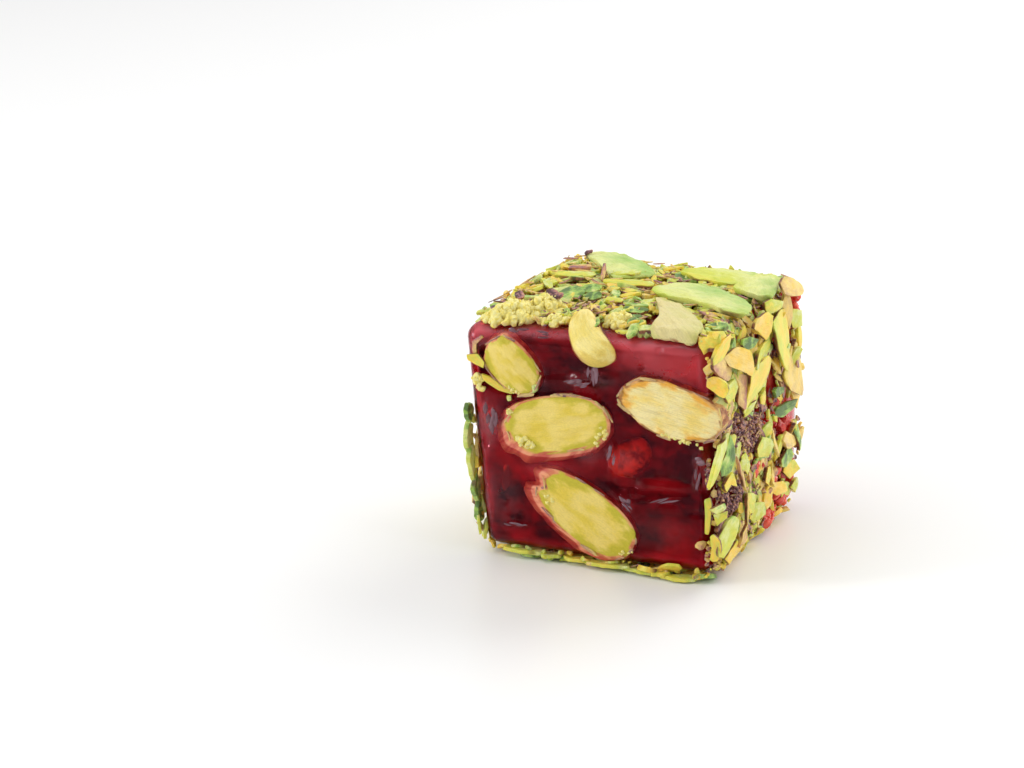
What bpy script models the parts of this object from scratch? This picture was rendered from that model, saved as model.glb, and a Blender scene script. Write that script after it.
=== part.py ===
"""A cube of lokum: dark red jelly with whole pistachio kernels, rolled in slivered pistachio and cut.

The bar is coated on four sides and cut across, so the front (-Y) and back (+Y) faces are bare jelly
that shows the kernels the knife went through. Units in the tables are millimetres.
"""
import math

import bmesh
import bpy
from mathutils import Matrix, Vector, noise

MM = 0.001

# Jelly block: its eight corners before rounding. Soft food, so no two sides are quite parallel.
JELLY_CORNERS = {
    (-1, -1, -1): (-17.4, -17.8, 1.2),
    (1, -1, -1): (17.0, -18.0, 1.2),
    (-1, 1, -1): (-17.2, 18.0, 1.2),
    (1, 1, -1): (16.8, 18.1, 1.4),
    (-1, -1, 1): (-19.8, -18.4, 33.7),
    (1, -1, 1): (16.8, -18.0, 34.3),
    (-1, 1, 1): (-18.8, 18.0, 33.9),
    (1, 1, 1): (17.3, 17.9, 33.8),
}
JELLY_ROUND = 2.3
JELLY_GRID = 9
TOP_DOME = 0.5
JELLY_WAVE = 0.12
JELLY_WAVE_LENGTH = 11.0

# Coating: a sleeve of pressed slivers round the four long sides, uneven on the outside and thinner
# where the left side leans out above.
COAT_SIDE = 1.15
COAT_LEFT_TOP = 0.75
COAT_TOP = 1.35
COAT_END_SETBACK = 0.7
COAT_ROUND = 2.2
COAT_GRID = 12
COAT_BUMP = 0.55
COAT_BUMP_LENGTH = 3.6
FLOOR_BAND = 3.0
# The coating is thickest on the front half of the right side, and it ends further back on top, in
# front of the middle, where the jelly's upper edge is bare.
RIGHT_BULGE = 0.7
BARE_EDGE_X = -2.5
BARE_EDGE_HALF_WIDTH = 7.0
BARE_EDGE_DEPTH = 4.2

CLEARANCE = 0.3
KERNEL_PROUD = 0.35
KERNEL_SEGMENTS = 16
KERNEL_RINGS = 8

# Cut kernels: across (x), up (z), half length, half width, tilt of the long axis in degrees, bend,
# fullness of the outline (2 is an ellipse), and how much narrower one end is.
FRONT_KERNELS = (
    dict(x=-12.0, z=28.5, long=4.6, wide=3.3, tilt=-42, bend=0.03, full=2.3, taper=0.06),
    dict(x=-5.2, z=20.9, long=7.95, wide=4.1, tilt=12, bend=0.02, full=2.6, taper=0.05),
    dict(x=11.6, z=24.4, long=7.75, wide=3.9, tilt=-10.5, bend=0.04, full=2.15, taper=0.05),
    dict(x=-1.35, z=8.3, long=8.15, wide=4.15, tilt=-32, bend=-0.03, full=2.5, taper=-0.05),
)
BACK_KERNELS = (
    dict(x=-8.4, z=25.0, long=7.9, wide=4.1, tilt=24, bend=0.05, full=2.3, taper=0.05),
    dict(x=6.3, z=27.6, long=7.4, wide=3.5, tilt=-28, bend=-0.06, full=2.1, taper=0.12),
    dict(x=7.6, z=15.4, long=8.2, wide=4.2, tilt=9, bend=0.04, full=2.4, taper=-0.06),
    dict(x=-9.0, z=10.6, long=7.9, wide=4.0, tilt=-47, bend=0.03, full=2.3, taper=0.08),
    dict(x=3.4, z=6.2, long=4.6, wide=2.9, tilt=18, bend=0.1, full=2.1, taper=0.0),
)
KERNEL_THICK = 4.4
KERNEL_DEPTH = 1.1
KERNEL_THROUGH_COATING = "kernel_front_3"
# One whole, kidney-shaped kernel lies along the rounded upper edge in front and shows its back.
EDGE_KERNEL = dict(x=-0.9, z=33.0, long=4.8, wide=2.4, tilt=-54, bend=-0.45, full=2.3, taper=0.0)
EDGE_KERNEL_SETBACK = 2.9
EDGE_KERNEL_LEAN = 49
EDGE_KERNEL_THICK = 2.1

# Large slices of kernel lying flat on the top: centre, height of the underside, half length, half
# width, turn in plan, pitch and roll in degrees.
TOP_SLICES = (
    dict(x=-8.8, y=11.1, z=34.9, long=7.8, wide=4.0, turn=-34, pitch=0.0, roll=3.0),
    dict(x=10.3, y=-0.9, z=34.9, long=8.6, wide=3.7, turn=-22, pitch=1.0, roll=2.0),
    dict(x=8.4, y=-11.6, z=34.9, long=7.6, wide=3.1, turn=-50, pitch=1.0, roll=-1.0),
    dict(x=6.4, y=11.4, z=34.9, long=5.0, wide=2.9, turn=-10, pitch=0.0, roll=3.0),
    dict(x=15.2, y=6.4, z=34.9, long=3.9, wide=2.6, turn=-60, pitch=0.0, roll=3.0),
)
SLICE_THICK = 1.25


def clear_scene():
    for thing in list(bpy.data.objects):
        bpy.data.objects.remove(thing)


def new_collection(name):
    collection = bpy.data.collections.new(name)
    bpy.context.scene.collection.children.link(collection)
    return collection


def food_material(name, colour, roughness):
    material = bpy.data.materials.new(name)
    material.use_nodes = True
    shader = material.node_tree.nodes["Principled BSDF"]
    shader.inputs["Base Color"].default_value = (*colour, 1.0)
    shader.inputs["Roughness"].default_value = roughness
    shader.inputs["Metallic"].default_value = 0.0
    return material


def object_from(bm, name, collection, material=None):
    """Turns millimetres into metres, faces outwards, and links the mesh as an object."""
    bmesh.ops.recalc_face_normals(bm, faces=bm.faces)
    bmesh.ops.scale(bm, vec=Vector((MM, MM, MM)), verts=bm.verts)
    mesh = bpy.data.meshes.new(name)
    bm.to_mesh(mesh)
    bm.free()
    mesh.shade_smooth()
    mesh.set_sharp_from_angle(angle=math.radians(35))
    made = bpy.data.objects.new(name, mesh)
    collection.objects.link(made)
    if material is not None:
        mesh.materials.append(material)
    return made


def as_cutter(thing):
    thing.hide_render = True
    thing.display_type = "WIRE"
    return thing


def cut(target, cutter, solver="EXACT"):
    modifier = target.modifiers.new("cut_" + cutter.name, "BOOLEAN")
    modifier.operation = "DIFFERENCE"
    modifier.solver = solver
    modifier.object = cutter


def cut_thin_sleeve(target, cutter):
    """The bumpy sleeve is closed but thin, where the exact solver loses its walls."""
    cut(target, cutter, solver="MANIFOLD")


def corner_blend(corners, u):
    """The point of a twisted box at u, each part of which runs from -1 to 1."""
    total = Vector((0.0, 0.0, 0.0))
    for signs, corner in corners.items():
        share = 1.0
        for sign, value in zip(signs, u):
            share *= (1 + sign * value) / 2
        total += share * Vector(corner)
    return total


def grown_corners(side, top, ends, left_top=None):
    """The jelly's corners moved out by side across, by top upwards and by ends along the bar.

    left_top, if given, is used across instead of side at the upper left."""
    grown = {}
    for (sx, sy, sz), (x, y, z) in JELLY_CORNERS.items():
        across = left_top if left_top is not None and (sx, sz) == (-1, 1) else side
        grown[sx, sy, sz] = (x + sx * across, y + sy * ends, z + (top if sz > 0 else -side))
    return grown


def half_extent(corners, axis):
    values = [corner[axis] for corner in corners.values()]
    return (max(values) - min(values)) / 2


def rounded_place(u, corners, radius):
    """Maps a point of the cube's surface onto the twisted box with edges rounded to radius."""
    half = Vector([half_extent(corners, axis) for axis in range(3)])
    flat = Vector([math.sin(math.pi / 2 * part) * size for part, size in zip(u, half)])
    core = Vector([max(-size + radius, min(size - radius, part)) for part, size in zip(flat, half)])
    beyond = flat - core
    if beyond.length > 1e-9:
        flat = core + beyond.normalized() * radius
    return corner_blend(corners, [part / size for part, size in zip(flat, half)])


def gridded_cube(cuts):
    bm = bmesh.new()
    bmesh.ops.create_cube(bm, size=2.0)
    bmesh.ops.subdivide_edges(bm, edges=bm.edges, cuts=cuts, use_grid_fill=True)
    return bm


def jelly_block(name, collection, grow=0.0, material=None):
    """The jelly with a slightly domed top and soft waves; grow makes the cutter for the sleeve."""
    corners = grown_corners(grow, grow, 0.0 if grow == 0 else grow)
    bm = gridded_cube(JELLY_GRID)
    for vert in bm.verts:
        u = vert.co.copy()
        place = rounded_place(u, corners, JELLY_ROUND)
        if u.z > 0:
            place.z += TOP_DOME * (1 - u.x ** 2) * (1 - u.y ** 2) * u.z
        wave = noise.noise(place / JELLY_WAVE_LENGTH) * JELLY_WAVE
        vert.co = place + u.normalized() * wave
    return object_from(bm, name, collection, material)


def coating_block(name, collection, material):
    """The sleeve's outside: pressed slivers make low bumps, and the underside is flat."""
    corners = grown_corners(COAT_SIDE, COAT_TOP, -COAT_END_SETBACK, COAT_LEFT_TOP)
    corners = {key: (x, y, max(z, 0.0) if key[2] > 0 else 0.0) for key, (x, y, z) in corners.items()}
    bm = gridded_cube(COAT_GRID)
    for vert in bm.verts:
        u = vert.co.copy()
        place = rounded_place(u, corners, COAT_ROUND)
        above_floor = min(1.0, place.z / FLOOR_BAND)
        bump = noise.noise(place / COAT_BUMP_LENGTH) * COAT_BUMP * above_floor
        place += u.normalized() * bump
        place.x += RIGHT_BULGE * max(0.0, u.x) ** 4 * max(0.0, 0.5 - u.y) * (1 - u.z ** 4)
        place.y += bare_edge_setback(place.x) * max(0.0, u.z) ** 4 * (1 - u.y) / 2
        vert.co = Vector((place.x, place.y, max(place.z, 0.0)))
    return object_from(bm, name, collection, material)


def bare_edge_setback(x):
    """How far the coating's front rim lies behind its usual place at x, as a smooth bay."""
    across = (x - BARE_EDGE_X) / BARE_EDGE_HALF_WIDTH
    return BARE_EDGE_DEPTH * max(0.0, 1 - across ** 2) ** 2


def kernel_mesh(long, wide, thick, full, taper, bend):
    """A whole kernel about its centre: long in X, thick in Y, wide in Z."""
    bm = bmesh.new()
    bmesh.ops.create_uvsphere(
        bm, u_segments=KERNEL_SEGMENTS, v_segments=KERNEL_RINGS, radius=1.0,
        matrix=Matrix.Rotation(math.pi / 2, 4, "Y"),
    )
    for vert in bm.verts:
        u = vert.co
        radius = (abs(u.x) ** full + abs(u.y) ** full + abs(u.z) ** full) ** (-1 / full)
        x, y, z = u * radius
        narrow = 1 - taper * x
        vert.co = Vector((x * long, y * thick * narrow, z * wide * narrow + bend * wide * (1 - x * x)))
    return bm


def cut_face_y(x, z, side):
    """Where the bare face lies along Y at a place on it; side is -1 in front and 1 behind."""
    across = x / half_extent(JELLY_CORNERS, 0)
    up = z / half_extent(JELLY_CORNERS, 2) - 1
    return corner_blend(JELLY_CORNERS, (across, side, up)).y


def slice_off(bm, point, normal):
    """Removes what lies beyond a plane and closes the cut."""
    bmesh.ops.bisect_plane(
        bm, geom=bm.verts[:] + bm.edges[:] + bm.faces[:], dist=1e-5,
        plane_co=point, plane_no=normal, clear_outer=True,
    )
    open_edges = [edge for edge in bm.edges if edge.is_boundary]
    bmesh.ops.triangle_fill(bm, edges=open_edges, use_beauty=True)


def cut_kernel(name, spec, side, collection, grow=0.0, material=None):
    """A kernel set in a bare face. The knife has flattened it there; the cutter is left whole."""
    section = math.sqrt(1 - (KERNEL_DEPTH / KERNEL_THICK) ** 2)
    bm = kernel_mesh(
        spec["long"] / section + grow, spec["wide"] / section + grow, KERNEL_THICK + grow,
        spec["full"], spec["taper"], spec["bend"],
    )
    if grow == 0:
        slice_off(bm, Vector((0, -KERNEL_DEPTH, 0)), Vector((0, -1, 0)))
    centre_y = cut_face_y(spec["x"], spec["z"], side) + side * (KERNEL_PROUD - KERNEL_DEPTH)
    tilt = Matrix.Rotation(math.radians(-spec["tilt"]), 4, "Y")
    facing = Matrix.Rotation(math.pi if side > 0 else 0.0, 4, "Z")
    place = Matrix.Translation((spec["x"], centre_y, spec["z"]))
    bmesh.ops.transform(bm, matrix=place @ facing @ tilt, verts=bm.verts)
    return object_from(bm, name, collection, material)


def edge_kernel(name, collection, grow=0.0, material=None):
    """The whole kernel on the rounded upper edge, leaning back to follow it."""
    spec = EDGE_KERNEL
    bm = kernel_mesh(
        spec["long"] + grow, spec["wide"] + grow, EDGE_KERNEL_THICK + grow,
        spec["full"], spec["taper"], spec["bend"],
    )
    tilt = Matrix.Rotation(math.radians(-spec["tilt"]), 4, "Y")
    lean = Matrix.Rotation(math.radians(-EDGE_KERNEL_LEAN), 4, "X")
    centre_y = cut_face_y(spec["x"], spec["z"], -1) + EDGE_KERNEL_SETBACK
    place = Matrix.Translation((spec["x"], centre_y, spec["z"]))
    bmesh.ops.transform(bm, matrix=place @ lean @ tilt, verts=bm.verts)
    return object_from(bm, name, collection, material)


def top_slice(name, spec, collection, grow=0.0, material=None):
    """A slab cut lengthwise from a kernel, so its edge keeps the kernel's curve."""
    bm = kernel_mesh(spec["long"] + grow, spec["wide"] + grow, KERNEL_THICK, 2.2, 0.12, 0.12)
    bmesh.ops.rotate(bm, matrix=Matrix.Rotation(math.pi / 2, 3, "X"), verts=bm.verts)
    slice_off(bm, Vector((0, 0, SLICE_THICK + grow)), Vector((0, 0, 1)))
    slice_off(bm, Vector((0, 0, -grow)), Vector((0, 0, -1)))
    turn = (
        Matrix.Rotation(math.radians(spec["turn"]), 4, "Z")
        @ Matrix.Rotation(math.radians(spec["pitch"]), 4, "Y")
        @ Matrix.Rotation(math.radians(spec["roll"]), 4, "X")
    )
    place = Matrix.Translation((spec["x"], spec["y"], spec["z"]))
    bmesh.ops.transform(bm, matrix=place @ turn, verts=bm.verts)
    return object_from(bm, name, collection, material)


def centre_over_origin(parts):
    """Moves everything sideways so that the middle of the finished box stands on the origin."""
    bpy.context.view_layer.update()
    graph = bpy.context.evaluated_depsgraph_get()
    points = [
        thing.matrix_world @ Vector(corner)
        for thing in parts.objects
        for corner in thing.evaluated_get(graph).bound_box
    ]
    middle = [(max(p[axis] for p in points) + min(p[axis] for p in points)) / 2 for axis in (0, 1)]
    for thing in bpy.data.objects:
        thing.location.x -= middle[0]
        thing.location.y -= middle[1]


def build():
    clear_scene()
    lokum = new_collection("pistachio_lokum_cube")
    cutters = new_collection("cutters")
    cutters.hide_render = True

    red_jelly = food_material("red_jelly", (0.16, 0.008, 0.018), 0.12)
    sliver_green = food_material("sliver_green", (0.62, 0.58, 0.16), 0.6)
    kernel_yellow = food_material("kernel_yellow", (0.76, 0.6, 0.13), 0.55)
    slice_green = food_material("slice_green", (0.64, 0.66, 0.26), 0.55)

    jelly = jelly_block("jelly", lokum, material=red_jelly)
    coating = coating_block("nut_coating", lokum, sliver_green)
    cut_thin_sleeve(coating, as_cutter(jelly_block("jelly_room", cutters, grow=CLEARANCE)))

    rows = [("kernel_front", -1, FRONT_KERNELS), ("kernel_back", 1, BACK_KERNELS)]
    for row, side, kernels in rows:
        for number, spec in enumerate(kernels, start=1):
            name = f"{row}_{number}"
            cut_kernel(name, spec, side, lokum, material=kernel_yellow)
            pocket = as_cutter(cut_kernel(name + "_pocket", spec, side, cutters, grow=CLEARANCE))
            cut(jelly, pocket)
            if name == KERNEL_THROUGH_COATING:
                cut_thin_sleeve(coating, pocket)
    edge_kernel("kernel_edge", lokum, material=kernel_yellow)
    edge_pocket = as_cutter(edge_kernel("kernel_edge_pocket", cutters, grow=CLEARANCE))
    cut(jelly, edge_pocket)
    cut_thin_sleeve(coating, edge_pocket)
    for number, spec in enumerate(TOP_SLICES, start=1):
        name = f"top_slice_{number}"
        top_slice(name, spec, lokum, material=slice_green)
        bed = as_cutter(top_slice(name + "_bed", spec, cutters, grow=CLEARANCE))
        cut_thin_sleeve(coating, bed)
    centre_over_origin(lokum)


build()
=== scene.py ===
"""The looks of a cube of pistachio lokum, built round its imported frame.

The cube is dark red jelly with whole pistachio kernels set in it. The front and back faces were cut
and show the kernels in section; the other four sides are rolled in slivered pistachio. Shapes are
worked out in millimetres on the cube and turned into the frame's metres by the Block class.
"""
import logging
from dataclasses import dataclass, replace
from enum import Enum
from math import atan2, cos, degrees, pi, radians, sin, sqrt
from typing import Sequence

import bmesh
import bpy
import numpy as np
from mathutils import Euler, Matrix, Vector


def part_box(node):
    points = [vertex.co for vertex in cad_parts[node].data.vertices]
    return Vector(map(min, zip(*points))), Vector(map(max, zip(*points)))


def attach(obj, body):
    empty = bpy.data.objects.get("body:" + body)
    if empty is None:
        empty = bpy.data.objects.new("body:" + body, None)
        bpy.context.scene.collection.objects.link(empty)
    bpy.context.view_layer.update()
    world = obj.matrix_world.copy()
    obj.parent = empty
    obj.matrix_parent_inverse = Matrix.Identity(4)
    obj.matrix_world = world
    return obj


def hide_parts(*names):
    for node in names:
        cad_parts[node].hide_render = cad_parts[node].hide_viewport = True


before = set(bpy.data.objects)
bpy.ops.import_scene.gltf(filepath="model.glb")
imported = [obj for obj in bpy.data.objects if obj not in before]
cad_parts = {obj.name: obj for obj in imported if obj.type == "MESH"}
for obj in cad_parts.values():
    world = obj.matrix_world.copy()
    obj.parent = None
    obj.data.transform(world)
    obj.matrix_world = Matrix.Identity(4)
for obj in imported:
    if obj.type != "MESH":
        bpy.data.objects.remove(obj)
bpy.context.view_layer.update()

LOG = logging.getLogger("lokum")

MM = 0.001
BODY = "root"
TAU = 2 * pi
# The height, in metres, under which what lies lowest is pressed against the table.
PRESSED = 0.0004
# Where the jelly's lowest corner lies from the middle of its foot, in millimetres.
JELLY_LOW_X = -19.52
JELLY_LOW_Y = -18.337
# Degrees past which the edge of a cut piece is crisp, and that of a crumb.
CUT_CRISP = 48
CRUMB_CRISP = 40

Array = np.ndarray
Material = bpy.types.Material
Piece = bpy.types.Object
Socket = bpy.types.NodeSocket
Pair = tuple[float, float]
Triple = Colour = tuple[float, float, float]
Faces = list[tuple[int, ...]]
Nodes = bpy.types.NodeTree
Shaped = tuple[Array, list, dict[str, Array]]


# ---- measures and small helpers

def paint(*steps: int) -> Colour:
    """Gives the linear colour of red, green and blue steps from 0 to 255."""
    shares = [step / 255 for step in steps]
    return tuple(c / 12.92 if c <= 0.04045 else ((c + 0.055) / 1.055) ** 2.4 for c in shares)


def ease(values: Array, low: float, high: float) -> Array:
    """Rises smoothly from 0 at low to 1 at high."""
    t = np.clip((values - low) / (high - low), 0.0, 1.0)
    return t * t * (3 - 2 * t)


def waver(points: Array, size: float, seed: int = 0) -> Array:
    """Gives smooth noise from -1 to 1 at each point.

    Args:
        points: One point a row, in millimetres.
        size: The noise's grain, in millimetres.
        seed: Chooses another field.

    Returns:
        One value for each point.
    """
    place = points / size + seed * 17.31
    cell = np.floor(place).astype(np.int64)
    part = place - cell
    part = part ** 3 * (part * (part * 6 - 15) + 10)
    total = np.zeros(len(points))
    for corner in np.ndindex(2, 2, 2):
        key = (cell + corner) @ np.array([73856093, 19349663, 83492791]) + seed * 2654435
        key = (key ^ (key >> 13)) * 1274126177
        value = ((key ^ (key >> 16)) & 0xFFFF) / 32767.5 - 1
        share = np.prod(np.where(np.array(corner) == 1, part, 1 - part), axis=1)
        total += value * share
    return total


@dataclass(frozen=True)
class Block:
    """The cube's own measure: millimetres from the middle of its foot, along the frame's axes."""

    shift_x: float
    shift_y: float

    @classmethod
    def from_frame(cls) -> "Block":
        """Finds the foot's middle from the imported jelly, whose lowest corner is known."""
        low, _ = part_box("jelly")
        return cls(low.x / MM - JELLY_LOW_X, low.y / MM - JELLY_LOW_Y)

    def metres(self, points: Array) -> Array:
        """Turns points on the cube into the frame's metres."""
        return (points + np.array([self.shift_x, self.shift_y, 0.0])) * MM


def turned(across: float | Array, up: float | Array, degrees: float) -> tuple:
    """Turns places in a plane about its origin."""
    turn = radians(degrees)
    return (across * cos(turn) - up * sin(turn),
            across * sin(turn) + up * cos(turn))


def closed_faces(rings: int, count: int, flipped: bool = False) -> Faces:
    """Lists the faces of a stack of rings between two end points.

    Args:
        rings: Number of rings.
        count: Number of points in each.
        flipped: Whether the quads run the other way round.

    Returns:
        Point numbers of each face, where the first and the last point are the ends.
    """
    steps = [(c, (c + 1) % count) for c in range(count)]
    starts = range(1, 1 + rings * count, count)
    quads = [(low + a, low + b, high + b, high + a)
             for low, high in zip(starts, starts[1:]) for a, b in steps]
    first = [(0, 1 + b, 1 + a) for a, b in steps]
    last = [(starts[-1] + count, starts[-1] + a, starts[-1] + b) for a, b in steps]
    return first + ([quad[::-1] for quad in quads] if flipped else quads) + last


def join_meshes(shapes: Sequence[Shaped]) -> Shaped:
    """Joins meshes that carry the same attributes."""
    faces, start = [], 0
    for place, quads, _ in shapes:
        faces += [tuple(i + start for i in quad) for quad in quads]
        start += len(place)
    values = {key: np.concatenate([shape[2][key] for shape in shapes]) for key in shapes[0][2]}
    return np.concatenate([shape[0] for shape in shapes]), faces, values


def new_object(name: str, points: Array, faces: Sequence, material: Material,
               values: dict[str, Array] | None = None) -> Piece:
    """Makes a smooth-shaded mesh object whose place is in its mesh.

    Args:
        name: The piece's name.
        points: Vertices in metres.
        faces: Vertex numbers of each face.
        material: The finish.
        values: Attributes, as one number or one vector for each vertex.

    Returns:
        The new object.
    """
    mesh = bpy.data.meshes.new(name)
    mesh.from_pydata(points.tolist(), [], faces)
    for key, data in (values or {}).items():
        kind = "FLOAT" if data.ndim == 1 else "FLOAT_VECTOR"
        attribute = mesh.attributes.new(key, kind, "POINT")
        attribute.data.foreach_set("value" if data.ndim == 1 else "vector",
                                   data.astype(np.float32).ravel())
    mesh.materials.append(material)
    mesh.shade_smooth()
    mesh.update()
    made = bpy.data.objects.new(name, mesh)
    bpy.context.scene.collection.objects.link(made)
    return made


def press_flat(mesh: bpy.types.Mesh) -> None:
    """Presses what lies lowest against the table, so that nothing sinks into it."""
    places = np.empty(3 * len(mesh.vertices))
    mesh.vertices.foreach_get("co", places)
    heights = places[2::3]
    low = heights < PRESSED
    heights[low] = PRESSED * np.exp(heights[low] / PRESSED - 1)
    mesh.vertices.foreach_set("co", places)
    mesh.update()


def settle(piece: Piece, slot: str, nodes: Sequence[str] = ()) -> Piece:
    """Presses a finished piece onto the table and puts it on the body and in the place of its nodes; its
    slot only names it in the log.
    """
    press_flat(piece.data)
    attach(piece, BODY)
    if nodes:
        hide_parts(*nodes)
    LOG.info("%s: %d faces for %s", piece.name, len(piece.data.polygons), ", ".join(nodes) or slot)
    return piece


# ---- shader helpers

@dataclass
class Tree:
    """Adds and joins nodes in one node tree with little ceremony."""

    tree: Nodes

    def put(self, socket: Socket, value) -> None:
        """Sets a socket to a value or a colour, or links another socket to it."""
        if isinstance(value, Socket):
            self.tree.links.new(value, socket)
        elif socket.type == "RGBA" and len(value) == 3:
            socket.default_value = (*value, 1.0)
        else:
            socket.default_value = value

    def fill(self, node: bpy.types.Node, values: dict) -> None:
        """Puts values on a node's inputs, which are named as add names them."""
        by_name = {socket.name.lower().replace(" ", "_"): socket for socket in reversed(node.inputs)}
        for key, value in values.items():
            number = key[1:]
            self.put(node.inputs[int(number)] if number.isdigit() else by_name[key], value)

    def add(self, kind: str, settings: dict | None = None, **inputs) -> bpy.types.Node:
        """Adds a node.

        Args:
            kind: The node's type name.
            settings: Properties to set on it.
            **inputs: Values or sockets for its inputs, named in lower case with underscores;
                i0, i1 and so on name an input by number.

        Returns:
            The node.
        """
        node = self.tree.nodes.new(kind)
        for key, value in (settings or {}).items():
            setattr(node, key, value)
        self.fill(node, inputs)
        return node

    def attribute(self, name: str, output: str = "Fac") -> Socket:
        """Reads a mesh attribute."""
        return self.add("ShaderNodeAttribute", {"attribute_name": name}).outputs[output]

    def math(self, operation: str, first, second=0.0, third=0.5, clamp: bool = False) -> Socket:
        """Joins numbers by an operation."""
        settings = {"operation": operation, "use_clamp": clamp}
        return self.add("ShaderNodeMath", settings, i0=first, i1=second, i2=third).outputs[0]

    def spread(self, value, low: float, high: float, to_low: float = 0.0,
               to_high: float = 1.0) -> Socket:
        """Maps a value from one range to another, smoothly at its ends."""
        return self.add("ShaderNodeMapRange", {"interpolation_type": "SMOOTHSTEP"}, i0=value,
                        i1=low, i2=high, i3=to_low, i4=to_high).outputs[0]

    def blend(self, amount, first, second, kind: str = "MIX") -> Socket:
        """Mixes two colours."""
        return self.add("ShaderNodeMix", {"data_type": "RGBA", "blend_type": kind}, i0=amount,
                        i6=first, i7=second).outputs[2]

    def noise(self, where: Socket, scale: float, detail: float = 2.0,
              roughness: float = 0.5) -> Socket:
        """Adds a noise texture and gives its value."""
        return self.add("ShaderNodeTexNoise", vector=where, scale=scale, detail=detail,
                        roughness=roughness).outputs[0]

    def stretch(self, where: Socket, scale: Triple, turn: Triple = (0.0, 0.0, 0.0)) -> Socket:
        """Scales and turns coordinates."""
        return self.add("ShaderNodeMapping", vector=where, scale=scale, rotation=turn).outputs[0]


class Look(Tree):
    """A material's tree, with its Principled shader."""

    def __init__(self, name: str) -> None:
        """Starts the material."""
        self.material = bpy.data.materials.new(name)
        self.material.use_nodes = True
        super().__init__(self.material.node_tree)

    def place(self) -> Socket:
        """Reads where a point lies on its piece."""
        return self.add("ShaderNodeTexCoord").outputs["Object"]

    def dress(self, **values) -> Material:
        """Fills the shader's sockets and gives the material."""
        self.fill(self.tree.nodes["Principled BSDF"], values)
        return self.material


def open_group(name: str, kind: str, given: dict[str, str], made: dict[str, str]) -> tuple:
    """Starts a node group.

    Args:
        name: The group's name.
        kind: Its type of tree.
        given: The kind of each input by its name.
        made: The kind of each output by its name.

    Returns:
        The group's tree, the sockets that bring its inputs, and those that take its outputs.
    """
    tree = Tree(bpy.data.node_groups.new(name, kind))
    for way, sockets in (("INPUT", given), ("OUTPUT", made)):
        for label, sort in sockets.items():
            tree.tree.interface.new_socket(label, in_out=way, socket_type=f"NodeSocket{sort}")
    return tree, tree.add("NodeGroupInput").outputs, tree.add("NodeGroupOutput").inputs


def nut_flesh_group() -> Nodes:
    """Builds the shared look of cut pistachio: core to rim colours, fibres and speckle.

    Its place input is 1 long at the kernel's skin. It puts out the colour and the fibres' height.

    Returns:
        The node group.
    """
    tree, given, end = open_group(
        "nut_flesh", "ShaderNodeTree",
        {"Place": "Vector", "Core": "Color", "Middle": "Color", "Rim": "Color",
         "Rim Start": "Float", "Offset": "Float", "Fibre": "Float"},
        {"Colour": "Color", "Height": "Float"})
    moved = tree.add("ShaderNodeVectorMath", {"operation": "ADD"}, i0=given["Place"],
                     i1=given["Offset"]).outputs[0]
    cloud = tree.noise(moved, 2.2, 3.0)
    fibres = tree.noise(tree.stretch(moved, (2.6, 17.0, 17.0)), 1.0, 4.0, 0.6)
    speckle = tree.noise(moved, 30.0)
    depth = tree.add("ShaderNodeVectorMath", {"operation": "LENGTH"}, i0=given["Place"]).outputs[1]
    wander = tree.math("ADD", depth, tree.spread(cloud, 0.3, 0.7, -0.16, 0.16))
    inner = tree.blend(tree.spread(cloud, 0.36, 0.66), given["Core"], given["Middle"])
    rim = tree.math("SUBTRACT", wander, given["Rim Start"])
    toned = tree.blend(tree.spread(rim, 0.0, 0.26), inner, given["Rim"])
    fibred = tree.blend(given["Fibre"], (1.0, 1.0, 1.0), tree.spread(fibres, 0.32, 0.58, 0.8, 1.06))
    out = tree.blend(1.0, toned, fibred, "MULTIPLY")
    grain = tree.spread(speckle, 0.3, 0.7, 0.94, 1.05)
    tree.put(end["Colour"], tree.blend(1.0, out, grain, "MULTIPLY"))
    height = tree.math("MULTIPLY_ADD", fibres, given["Fibre"], 0.0)
    tree.put(end["Height"], tree.math("ADD", height, tree.math("MULTIPLY", speckle, 0.25)))
    return tree.tree


# ---- finishes

@dataclass(frozen=True)
class JellyFinish:
    """Clear red sugar gel."""

    body: Colour = (0.97, 0.46, 0.49)
    roughness: float = 0.03
    sheen: Colour = (0.85, 0.16, 0.24)
    milky: Colour = (1.0, 0.84, 0.98)
    index: float = 1.46
    through: Colour = (0.96, 0.06, 0.10)
    density: float = 330.0
    wrinkle: float = 0.0009
    satin: float = 0.28

    def build(self) -> Material:
        """Builds the material: drag-mark roughness and what the gel swallows."""
        look = Look("red_jelly")
        where = look.place()
        rough = look.spread(look.noise(where, 420.0, 3.0), 0.35, 0.75, self.roughness,
                            self.roughness + 0.09)
        wrinkle, sheen = look.attribute("wrinkle"), look.attribute("sheen")
        satin = look.math("MULTIPLY", sheen, look.spread(wrinkle, 0.1, 0.5, self.satin, 0.0))
        streaks = look.noise(look.stretch(where, (1300.0, 900.0, 300.0), (0.0, 0.25, 0.0)), 1.0, 3.0)
        bump = look.add("ShaderNodeBump", strength=1.0, distance=self.wrinkle,
                        height=look.math("MULTIPLY", streaks, wrinkle))
        swallow = look.add("ShaderNodeVolumeAbsorption", color=self.through, density=self.density)
        look.put(look.tree.nodes["Material Output"].inputs["Volume"], swallow.outputs[0])
        return look.dress(
            base_color=self.body, roughness=look.math("ADD", rough, satin), ior=self.index,
            transmission_weight=1.0, specular_tint=look.blend(sheen, self.sheen, self.milky),
            normal=bump.outputs[0])


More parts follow.
